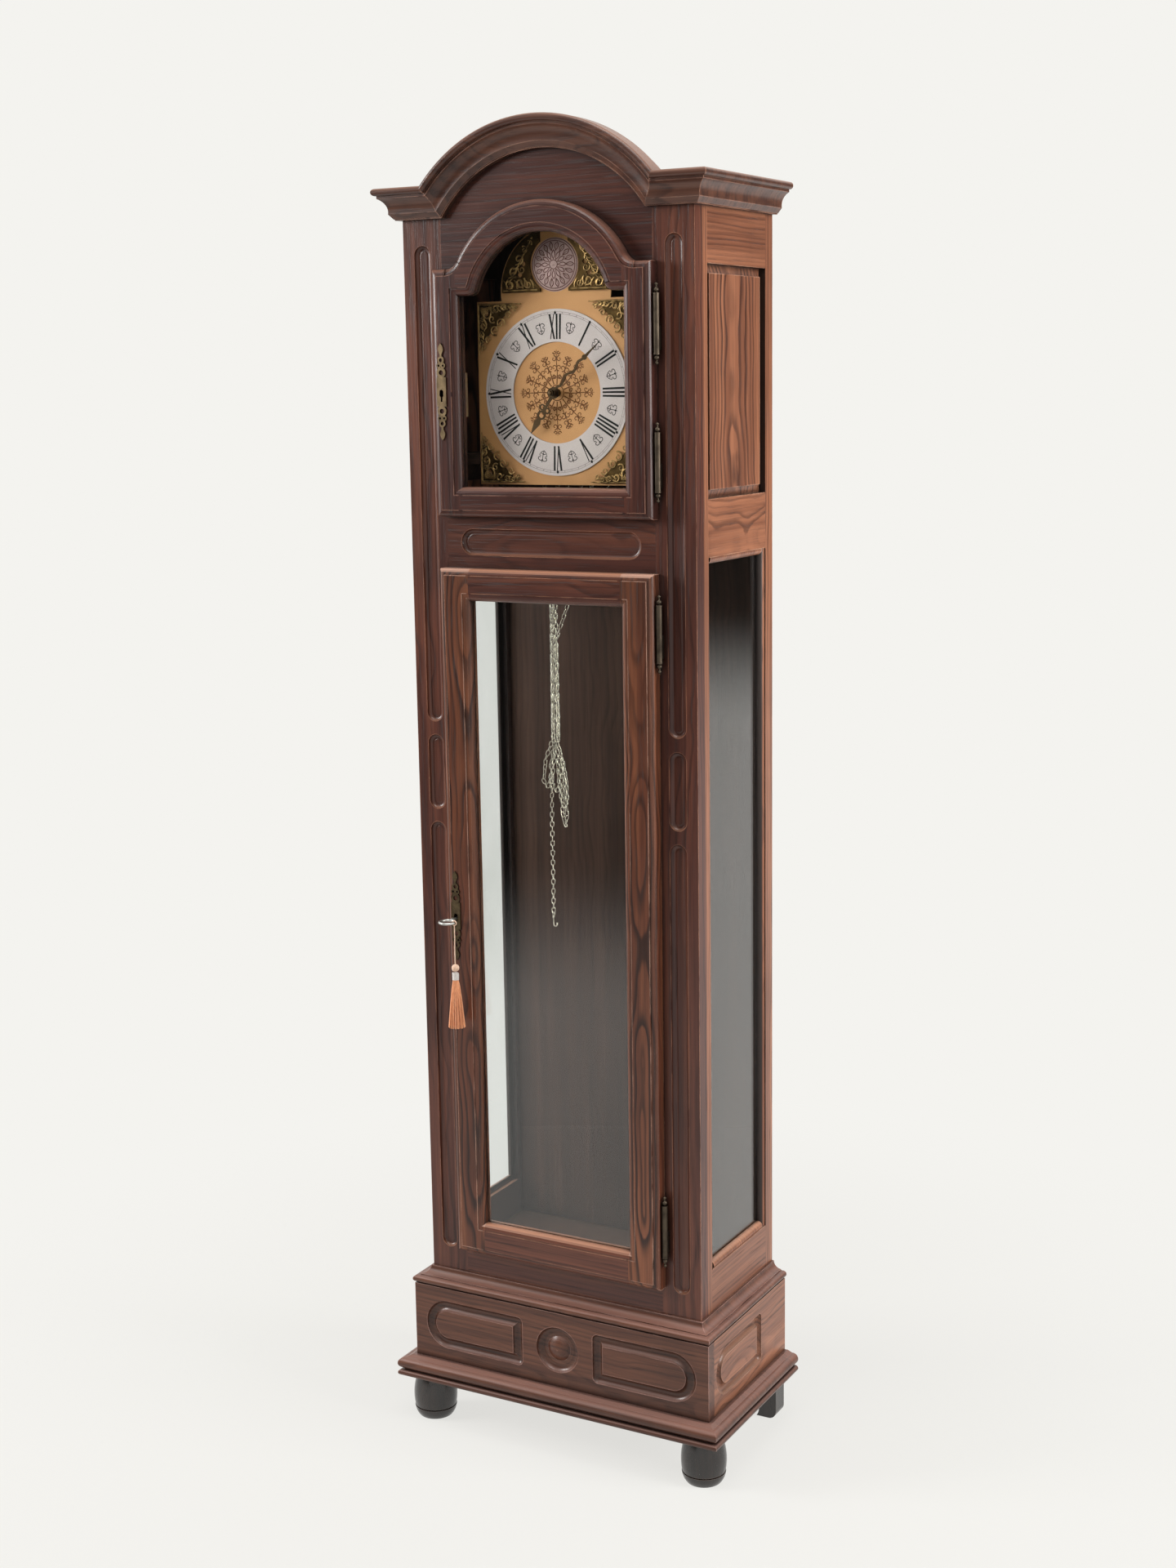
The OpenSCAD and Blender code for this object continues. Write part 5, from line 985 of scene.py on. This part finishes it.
def scroll(cx, cz, size, start, turns, way, thick):
    """A wire that winds inwards and grows thinner."""
    run = []
    for k in range(SCROLL_POINTS + 1):
        share = k / SCROLL_POINTS
        reach = size * (1 - (1 - SCROLL_HEART) * share)
        angle = start + way * turns * 2 * math.pi * share
        swell = thick * (1.15 - 0.45 * share)
        run.append((cx + reach * math.cos(angle), cz + reach * math.sin(angle), swell))
    return run


def leaf(x0, z0, x1, z1, bow, thick):
    """A bowed rib, thickest in its middle."""
    run = []
    dx = x1 - x0
    dz = z1 - z0
    length = math.hypot(dx, dz)
    for k in range(LEAF_POINTS + 1):
        share = k / LEAF_POINTS
        side = bow * math.sin(math.pi * share)
        x = x0 + dx * share - dz / length * side
        z = z0 + dz * share + dx / length * side
        run.append((x, z, thick * (0.35 + math.sin(math.pi * (0.15 + 0.7 * share)))))
    return run


print("casting thickness:", round((SPAN_HIGH[1] - SPAN_LOW[1]) * 1000, 1), "mm")

# %% Name a corner's scrolls
CORNER = SPAN_HIGH[0] - 0.0012
CORNER_LEG = 0.068
# Each scroll: how far in from the corner, along x and z, then its size, start, turns, way, thickness
CORNER_SCROLLS = (
    (0.0125, 0.0125, 0.0092, 0.8, 1.3, 1, 1.4),
    (0.0285, 0.0068, 0.0062, 2.6, 1.2, -1, 1.2),
    (0.0068, 0.0285, 0.0062, 2.1, 1.2, 1, 1.2),
    (0.0410, 0.0048, 0.0044, 0.5, 1.2, 1, 1.0),
    (0.0048, 0.0410, 0.0044, 1.0, 1.2, -1, 1.0),
    (0.0510, 0.0032, 0.0030, 2.6, 1.1, -1, 0.9),
    (0.0032, 0.0510, 0.0030, 2.1, 1.1, 1, 0.9),
    (0.0215, 0.0195, 0.0056, 3.9, 1.1, 1, 1.1),
    (0.0185, 0.0060, 0.0040, 5.2, 1.1, 1, 1.0),
    (0.0060, 0.0185, 0.0040, 5.8, 1.1, -1, 1.0),
    (0.0345, 0.0255, 0.0072, 3.4, 1.2, -1, 1.1),
    (0.0255, 0.0345, 0.0072, 4.4, 1.2, 1, 1.1),
    (0.0470, 0.0150, 0.0054, 2.8, 1.2, -1, 1.0),
    (0.0150, 0.0470, 0.0054, 5.0, 1.2, 1, 1.0),
    (0.0585, 0.0070, 0.0040, 2.6, 1.2, -1, 0.9),
    (0.0070, 0.0585, 0.0040, 5.2, 1.2, 1, 0.9),
)
print("scrolls in a corner:", len(CORNER_SCROLLS))

# %% Draw a corner
SHELL_FOOT = CORNER - 0.0035
SHELL_RIB = 0.0125


def corner_casting(sx, sz):
    """Frame, scrolls, shell and leaves of one corner; sx and sz give the corner's side."""
    c = CORNER
    runs = [
        [(c, c - CORNER_LEG, 0.7), (c, c - 0.02, 1.0), (c, c, 1.3)],
        [(c, c, 1.3), (c - 0.02, c, 1.0), (c - CORNER_LEG, c, 0.7)],
    ]
    for in_x, in_z, *curl in CORNER_SCROLLS:
        runs.append(scroll(c - in_x, c - in_z, *curl))
    for k in range(5):
        fan = math.radians(200 + 12.5 * k)
        tip = (SHELL_FOOT + SHELL_RIB * math.cos(fan), SHELL_FOOT + SHELL_RIB * math.sin(fan))
        runs.append(leaf(SHELL_FOOT, SHELL_FOOT, *tip, 0.0004 * (k - 2), 1.0))
    for k in range(7):
        run_in = 0.018 + 0.0058 * k
        reach = 0.0115 - 0.0011 * k
        runs.append(leaf(c - run_in, c - 0.002, c - run_in - 0.006, c - reach, 0.0014, 0.9))
        runs.append(leaf(c - 0.002, c - run_in, c - reach, c - run_in - 0.006, -0.0014, 0.9))
    return [[(sx * x, DIAL_Z + sz * z, s) for x, z, s in run] for run in runs]


print("wires in a corner:", len(corner_casting(1, 1)))

# %% Draw the arch
ARCH_FOOT = 0.1375
# Each scroll: its place out from the middle and up from the arch's foot, then its size and the rest
ARCH_SCROLLS = (
    (0.069, 0.009, 0.0074, 1.2, 1.2, -1, 1.3),
    (0.053, 0.0115, 0.0084, 2.4, 1.25, 1, 1.3),
    (0.0405, 0.0085, 0.0060, 0.8, 1.2, -1, 1.1),
    (0.0625, 0.0265, 0.0080, 4.2, 1.2, 1, 1.3),
    (0.0505, 0.0285, 0.0058, 0.4, 1.2, -1, 1.1),
    (0.0545, 0.0425, 0.0070, 4.4, 1.2, -1, 1.2),
    (0.0455, 0.0545, 0.0054, 1.0, 1.2, 1, 1.0),
    (0.0375, 0.0640, 0.0042, 4.0, 1.2, -1, 0.9),
)


def arch_casting(sx):
    """Scrolls of one side of the arch, from the plate's shoulder up beside the boss."""
    foot = ARCH_FOOT
    runs = [[(0.026, foot + 0.001, 1.0), (0.050, foot + 0.001, 1.2), (0.080, foot + 0.001, 1.0)]]
    for x, up, *curl in ARCH_SCROLLS:
        runs.append(scroll(x, foot + up, *curl))
    for k in range(11):
        t = k / 10
        outer = (0.076 - 0.040 * t, foot + 0.012 + 0.058 * t)
        inner = (0.063 - 0.030 * t, foot + 0.020 + 0.052 * t)
        runs.append(leaf(*outer, *inner, 0.0016, 1.0))
    for k in range(6):
        low = (0.032 + 0.0085 * k, foot + 0.003)
        high = (0.037 + 0.0085 * k, foot + 0.015)
        runs.append(leaf(*low, *high, 0.0016, 0.9))
    return [[(sx * x, DIAL_Z + z, s) for x, z, s in run] for run in runs]


print("wires in half the arch:", len(arch_casting(1)))

# %% Cast the spandrels' scrolls
CAST_WIRE = 0.00105
casting_runs = [run for sx in (-1, 1) for sz in (-1, 1) for run in corner_casting(sx, sz)]
casting_runs += [run for sx in (-1, 1) for run in arch_casting(sx)]
castings = wires(
    "spandrel_scrolls", casting_runs, SPAN_LOW[1], CAST_WIRE, cast_gold, flat=0.9, sides=2,
)
print("scrolls and leaves:", len(casting_runs))

# %% [markdown]
# ## The boss in the arch
# The boss is a shallow silvered dome. It carries an engraved rosette: two rings of petals round a small
# plain ring, inside two more rings near the rim. The lines are wires laid on the dome, each point at
# the depth that the dome has there.

# %% Helpers for the boss
PETAL_POINTS = 14
# Lifts the middle of a wire just off the dome
WIRE_LIFT = 0.0001


def dome_y(x, z):
    """Depth of the boss's face at a point."""
    share = min(1.0, math.hypot(x, z - BOSS_Z) / BOSS_R)
    return boss_low[1] + (boss_high[1] - boss_low[1]) * share * share


def petal(angle, inner, outer, width):
    """One petal's line, out and back."""
    run = []
    for k in range(PETAL_POINTS + 1):
        share = k / PETAL_POINTS
        out_and_back = 1 - abs(2 * share - 1)
        side = width * math.sin(2 * math.pi * share) * (0.4 + 0.6 * out_and_back)
        x, z = polar(inner + (outer - inner) * out_and_back, math.degrees(angle), BOSS_Z)
        run.append((x + side * math.cos(angle), z - side * math.sin(angle), 0.8 + 0.5 * out_and_back))
    return run


print("the dome rises", round((boss_high[1] - boss_low[1]) * 1000, 1), "mm")

# %% Engrave the boss
INNER_PETALS = 12
OUTER_PETALS = 18
boss_runs = [petal(2 * math.pi * k / INNER_PETALS, 0.007, 0.019, 0.0034) for k in range(INNER_PETALS)]
for k in range(OUTER_PETALS):
    boss_runs.append(petal(2 * math.pi * (k + 0.5) / OUTER_PETALS, 0.018, 0.030, 0.0036))
for k in range(OUTER_PETALS):
    angle = 20 * k + 10
    boss_runs.append([(*polar(0.019, angle, BOSS_Z), 1.0), (*polar(0.0275, angle, BOSS_Z), 0.5)])
for radius, points in ((0.006, 24), (0.0315, 72), (0.0345, 72)):
    boss_runs.append(circle_wire(radius, points, BOSS_Z))
boss_ink = metal("boss_engraving", rgb(120, 84, 78), rgb(84, 60, 54), 0.4, 0.5, 0.5)
boss_lines = [[((x, dome_y(x, z) + WIRE_LIFT, z), swell) for x, z, swell in run] for run in boss_runs]
settle(round_wires("boss_rosette", boss_lines, 0.00055, 1, boss_ink, capped=False), "boss_rosette")
print("boss lines:", len(boss_runs))

# %% [markdown]
# ## The chains
# The CAD carries each chain as a plain bar along its run. A real one is oval links of bent wire, each
# turned a quarter against the last. One link is a torus drawn out in edit mode, and it is copied along
# the same runs, point for point. The last chain ends in the small hook for a weight's cap.

# %% Model one link
LINK_PITCH = 0.0072
LINK_W = 0.0064
WIRE_R = 0.0006


def one_link():
    """A ring of wire, drawn out to an oval along x."""
    bpy.ops.mesh.primitive_torus_add(
        major_radius=LINK_W / 2 - WIRE_R, minor_radius=WIRE_R, major_segments=12, minor_segments=5,
    )
    link = bpy.context.active_object
    stretch = LINK_PITCH - LINK_W + 4 * WIRE_R
    bpy.ops.object.mode_set(mode="EDIT")
    bpy.ops.mesh.select_all(action="DESELECT")
    bpy.ops.object.mode_set(mode="OBJECT")
    for vertex in link.data.vertices:
        vertex.select = vertex.co.x > 0.0001
    bpy.ops.object.mode_set(mode="EDIT")
    bpy.ops.transform.translate(value=(stretch / 2, 0, 0))
    bpy.ops.mesh.select_all(action="INVERT")
    bpy.ops.transform.translate(value=(-stretch / 2, 0, 0))
    bpy.ops.object.mode_set(mode="OBJECT")
    for polygon in link.data.polygons:
        polygon.use_smooth = True
    link.data.materials.append(chain_metal)
    return link


link = one_link()
print("faces in a link:", len(link.data.polygons))

# %% Name the chains' places
# The CAD counts a chain's depth from the case's front, and the frame from the case's middle
CASE_MIDDLE = 0.093
CHAIN_Y = 0.08775
WHEEL_Z = 1.489
SEAT_UNDER = 1.436
GATHER_Z = 1.190
KNOT_Z = 1.045
# For each of the six strands: its side of a wheel, and where it bends into the bundle
WHEEL_SIDES = (-0.062, -0.034, -0.014, 0.014, 0.034, 0.062)
GATHER_X = (-0.050, -0.0474, -0.0447, -0.0453, -0.0426, -0.040)
GATHER_Y = (0.0034, -0.0013, -0.006, 0.006, 0.0013, -0.0034)
GATHER_UP = (0.065, 0.065, 0.065, 0.065, 0.065, 0)
# From there down to the knot the bundle widens about its middle, by this much
BRAID_X = -0.045
BRAID_SPREAD = 1.3
# The loops below the knot, and the long end that carries the hook, in millimetres from the knot
LOOPS = (
    ((-50, 0, 0), (-61, -3, -30), (-65, -2, -62), (-61, 0, -72), (-57, 2, -62), (-50, 3, -22)),
    ((-48, 0, -6), (-56, 4, -40), (-54, 5, -70), (-48, 5, -78), (-43, 4, -68), (-44, 2, -30)),
    ((-44, 0, 0), (-33, -4, -26), (-26, -4, -60), (-26, -3, -92), (-31, -2, -99), (-36, -2, -90),
     (-40, -3, -40)),
    ((-44, 0, -10), (-39, 3, -50), (-38, 4, -110), (-33, 3, -126), (-29, 1, -112), (-32, 1, -60),
     (-37, 2, -30)),
    ((-46, 0, -10), (-50, -5, -60), (-52, -3, -120), (-53, -1, -200), (-54, 0, -262)),
)
print("the chains are knotted", KNOT_Z, "m up")

# %% Lay out the chains' runs
def chain_runs():
    """Every chain's corner points: from its wheel to the knot, and then the loops."""
    runs = []
    for wheel_x, x, y, up in zip(WHEEL_SIDES, GATHER_X, GATHER_Y, GATHER_UP):
        runs.append([
            Vector((wheel_x, 0, WHEEL_Z)), Vector((wheel_x * 0.92 - 0.001, 0, SEAT_UNDER)),
            Vector((x, y, GATHER_Z + up)),
            Vector((BRAID_X + BRAID_SPREAD * (x - BRAID_X), BRAID_SPREAD * y, KNOT_Z)),
        ])
    for loop in LOOPS:
        runs.append([Vector((x / 1000, y / 1000, KNOT_Z + z / 1000)) for x, y, z in loop])
    return [[point + Vector((0, CHAIN_Y - CASE_MIDDLE, 0)) for point in run] for run in runs]


def along_run(run, pitch):
    """Points a pitch apart along a run, each with its direction."""
    places = []
    spare = 0.0
    for start, end in zip(run, run[1:]):
        way = end - start
        length = way.length
        reach = spare
        while reach < length:
            places.append((start + way * (reach / length), way.normalized()))
            reach += pitch
        spare = reach - length
    return places


runs = chain_runs()
print("runs:", len(runs))

# %% Hang the links along the runs
random.seed(7)
copies = []
for run in runs:
    for count, (spot, way) in enumerate(along_run(run, LINK_PITCH)):
        copy = link.copy()
        copy.data = link.data.copy()
        bpy.context.scene.collection.objects.link(copy)
        lie = way.to_track_quat("X", "Z").to_matrix().to_4x4()
        turn = Matrix.Rotation(math.pi / 2 * (count % 2) + random.uniform(-0.3, 0.3), 4, "X")
        tip = Matrix.Rotation(random.uniform(-0.1, 0.1), 4, "Y")
        copy.data.transform(Matrix.Translation(spot) @ lie @ turn @ tip)
        copies.append(copy)
bpy.data.objects.remove(link)
bpy.ops.object.select_all(action="DESELECT")
for copy in copies:
    copy.select_set(True)
bpy.context.view_layer.objects.active = copies[0]
bpy.ops.object.join()
chain_piece = bpy.context.active_object
chain_piece.name = "chain_links"
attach(chain_piece, "case")
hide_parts("chains")
print("links:", len(copies))

# %% Bend the hook at the last chain's end
HOOK_LONG = 0.017
HOOK_R = 0.0028
HOOK_WIRE = 0.0010
EYE_R = HOOK_R * 0.7


def hook_line():
    """A closed eye above, a straight shank and an open bend below."""
    end = runs[-1][-1]
    low = end - Vector((0, 0, HOOK_LONG - HOOK_R - HOOK_WIRE))
    points = []
    for k in range(12, 5, -1):
        a = math.radians(30 * k)
        points.append(end + Vector((0, EYE_R * math.sin(a), -EYE_R + EYE_R * math.cos(a))))
    for k in range(11):
        a = math.radians(22.5 * k)
        points.append(low + Vector((HOOK_R - HOOK_R * math.cos(a), 0, -HOOK_R * math.sin(a))))
    return points


def wire_piece(name, lines, radius, paint, body, sides=0):
    """Round wires of one thickness through points in space, as one piece."""
    even_lines = [[(spot, 1.0) for spot in line] for line in lines]
    return settle(round_wires(name, even_lines, radius, sides, paint), name, body)


hook = wire_piece("chain_hook", [hook_line()], HOOK_WIRE, chain_metal, "case", 2)
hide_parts("chains")
print("hook:", round(HOOK_LONG * 1000), "mm long")

# %% [markdown]
# ## The tassel
# A tassel is a bundle of threads bent over a cord, tied with a wound band below a covered bead. The
# skirt is many fine strands that splay a little, and the cord is two strands twisted together.

# %% Make the thread material
THREAD_SCALE = 1500.0


def thread(name, light, dark):
    """Silky thread with fine darker lines along its length."""
    made = material(name)
    place = object_place(made)
    strand = noise(made, mapped(made, place, scale=(1, 1, 0.08)), THREAD_SCALE, 3.0, 0.6)
    tone = blend(made, steps(made, strand, 0.3, 0.75), light, dark)
    bump = add(made, "Bump", None, Strength=0.4, Distance=0.0003, Height=strand)
    shader = add(
        made, "BsdfPrincipled", None,
        Base_Color=tone, Roughness=0.6, Normal=bump.outputs[0], Sheen_Weight=0.4, Sheen_Roughness=0.4,
    )
    return finish_with(made, shader.outputs[0])


peach_thread = thread("peach_thread", rgb(240, 168, 120), rgb(206, 126, 84))
pale_thread = thread("pale_thread", rgb(250, 220, 196), rgb(222, 178, 148))
white_thread = thread("white_thread", rgb(236, 230, 224), rgb(190, 182, 176))
print("threads:", peach_thread.name, pale_thread.name, white_thread.name)

# %% Measure the tassel
tassel_low, tassel_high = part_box("tassel")
TASSEL_X = (tassel_low[0] + tassel_high[0]) / 2
TASSEL_Y = (tassel_low[1] + tassel_high[1]) / 2
BEAD_R = 0.0055
BAND_H = 0.012
BAND_R = 0.0048
BEAD_Z = tassel_high[2] - BEAD_R
SKIRT_TOP = BEAD_Z - BEAD_R - 0.001 - BAND_H
SKIRT_R = (tassel_high[0] - tassel_low[0]) / 2


def round_tassel(reach, angle, height):
    """A point round the tassel's middle line."""
    return (TASSEL_X + reach * math.cos(angle), TASSEL_Y + reach * math.sin(angle), height)


print("tassel length:", round((tassel_high[2] - tassel_low[2]) * 1000), "mm")

# %% Spin the skirt's strands
STRAND_STEPS = 8
# The rings of strands: how many, and how far out they lie as a share of the skirt
RINGS = ((64, 0.98), (40, 0.72), (20, 0.4))


def skirt_strand(turn, ring, wander):
    """A strand that falls from under the band, splays and wanders a little round."""
    points = []
    for k in range(STRAND_STEPS + 1):
        share = k / STRAND_STEPS
        flare = BAND_R * 0.8 + (SKIRT_R * 0.93 - BAND_R * 0.8) * share ** 0.8
        drop = SKIRT_TOP + 0.001 - (SKIRT_TOP + 0.001 - tassel_low[2] - 0.0006) * share
        points.append(round_tassel(flare * ring, turn + wander * share, drop))
    return points


strands = []
for count, ring in RINGS:
    for k in range(count):
        uneven = ring + random.uniform(-0.04, 0.02)
        strands.append(skirt_strand(2 * math.pi * k / count, uneven, random.uniform(-0.15, 0.15)))
skirt = wire_piece("tassel_strands", strands, 0.00048, peach_thread, "tassel")
print("strands:", len(strands))

# %% Wind the band and cover the bead
BAND_TURNS = 9
TURN_STEPS = 16
WIND_R = BAND_R - 0.0006
BEAD_THREADS = 28
BEAD_STEPS = 8
BEAD_THREAD_R = BEAD_R - 0.0005
turns = []
for k in range(BAND_TURNS * TURN_STEPS + 1):
    share = k / (BAND_TURNS * TURN_STEPS)
    height = SKIRT_TOP + 0.0006 + (BAND_H - 0.0012) * share
    turns.append(round_tassel(WIND_R, 2 * math.pi * BAND_TURNS * share, height))
band = wire_piece("tassel_band", [turns], 0.00072, white_thread, "tassel", 1)

meridians = []
for k in range(BEAD_THREADS):
    line = []
    for j in range(BEAD_STEPS + 1):
        up = math.pi * (0.06 + 0.88 * j / BEAD_STEPS)
        angle = 2 * math.pi * k / BEAD_THREADS + 0.5 * j / BEAD_STEPS
        height = BEAD_Z + BEAD_THREAD_R * math.cos(up)
        line.append(round_tassel(BEAD_THREAD_R * math.sin(up), angle, height))
    meridians.append(line)
bead = wire_piece("tassel_bead", meridians, 0.00062, pale_thread, "tassel")
for piece in (skirt, band, bead):
    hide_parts("tassel")
print("threads over the bead:", len(meridians))

# %% Lay out the cord's route
CORD_R = 0.0009
LOOP_R = 0.0033
KEY_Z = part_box("tassel_cord")[1][2] - LOOP_R - CORD_R
# The route's points below the key's bow, in millimetres
CORD_ROUTE = ((0, 0, -3.3), (0.3, 0, -14), (0.2, 0, -24), (-0.2, 0, -36), (-0.2, 0, -48), (0, 0, -61))
CORD_STEPS = 12


def cord_path():
    """The route with more points between, for the strands to follow."""
    corners = []
    for x, y, z in CORD_ROUTE:
        corners.append(Vector((TASSEL_X + x / 1000, TASSEL_Y + y / 1000, KEY_Z + z / 1000)))
    path = []
    for start, end in zip(corners, corners[1:]):
        path += [start.lerp(end, k / CORD_STEPS) for k in range(CORD_STEPS)]
    return path + [corners[-1]]


path = cord_path()

# %% Twist the cord and its loop
STRAND_R = 0.00047
STRAND_OUT = CORD_R - STRAND_R
TWIST = 0.0042
LOOP_STEPS = 36
LOOP_TWIST = 1.05


def twisted(path):
    """Two strands wound round a path that hangs down."""
    strands = []
    for strand in (0, 1):
        line = []
        for spot in path:
            wind = math.pi * strand + 2 * math.pi * (path[0].z - spot.z) / TWIST
            line.append(spot + Vector((STRAND_OUT * math.cos(wind), STRAND_OUT * math.sin(wind), 0)))
        strands.append(line)
    return strands


def twisted_loop():
    """The same two strands, round the key's bow."""
    strands = []
    for strand in (0, 1):
        line = []
        for k in range(LOOP_STEPS + 1):
            around = math.pi * 1.5 + 2 * math.pi * k / LOOP_STEPS
            wind = math.pi * strand + k * LOOP_TWIST
            reach = LOOP_R + STRAND_OUT * math.cos(wind)
            line.append(Vector((
                TASSEL_X + reach * math.cos(around), TASSEL_Y + STRAND_OUT * math.sin(wind),
                KEY_Z + reach * math.sin(around),
            )))
        strands.append(line)
    return strands


cord = wire_piece("tassel_cord_twist", twisted(path), STRAND_R, pale_thread, "tassel", 1)
loop = wire_piece("tassel_cord_loop", twisted_loop(), STRAND_R, pale_thread, "tassel", 1)
for piece in (cord, loop):
    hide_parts("tassel_cord")

# %% [markdown]
# ## Last setting
# The colours are shown through the Standard view transform.

# %% Finish with the Standard view transform
bpy.context.scene.view_settings.view_transform = "Standard"
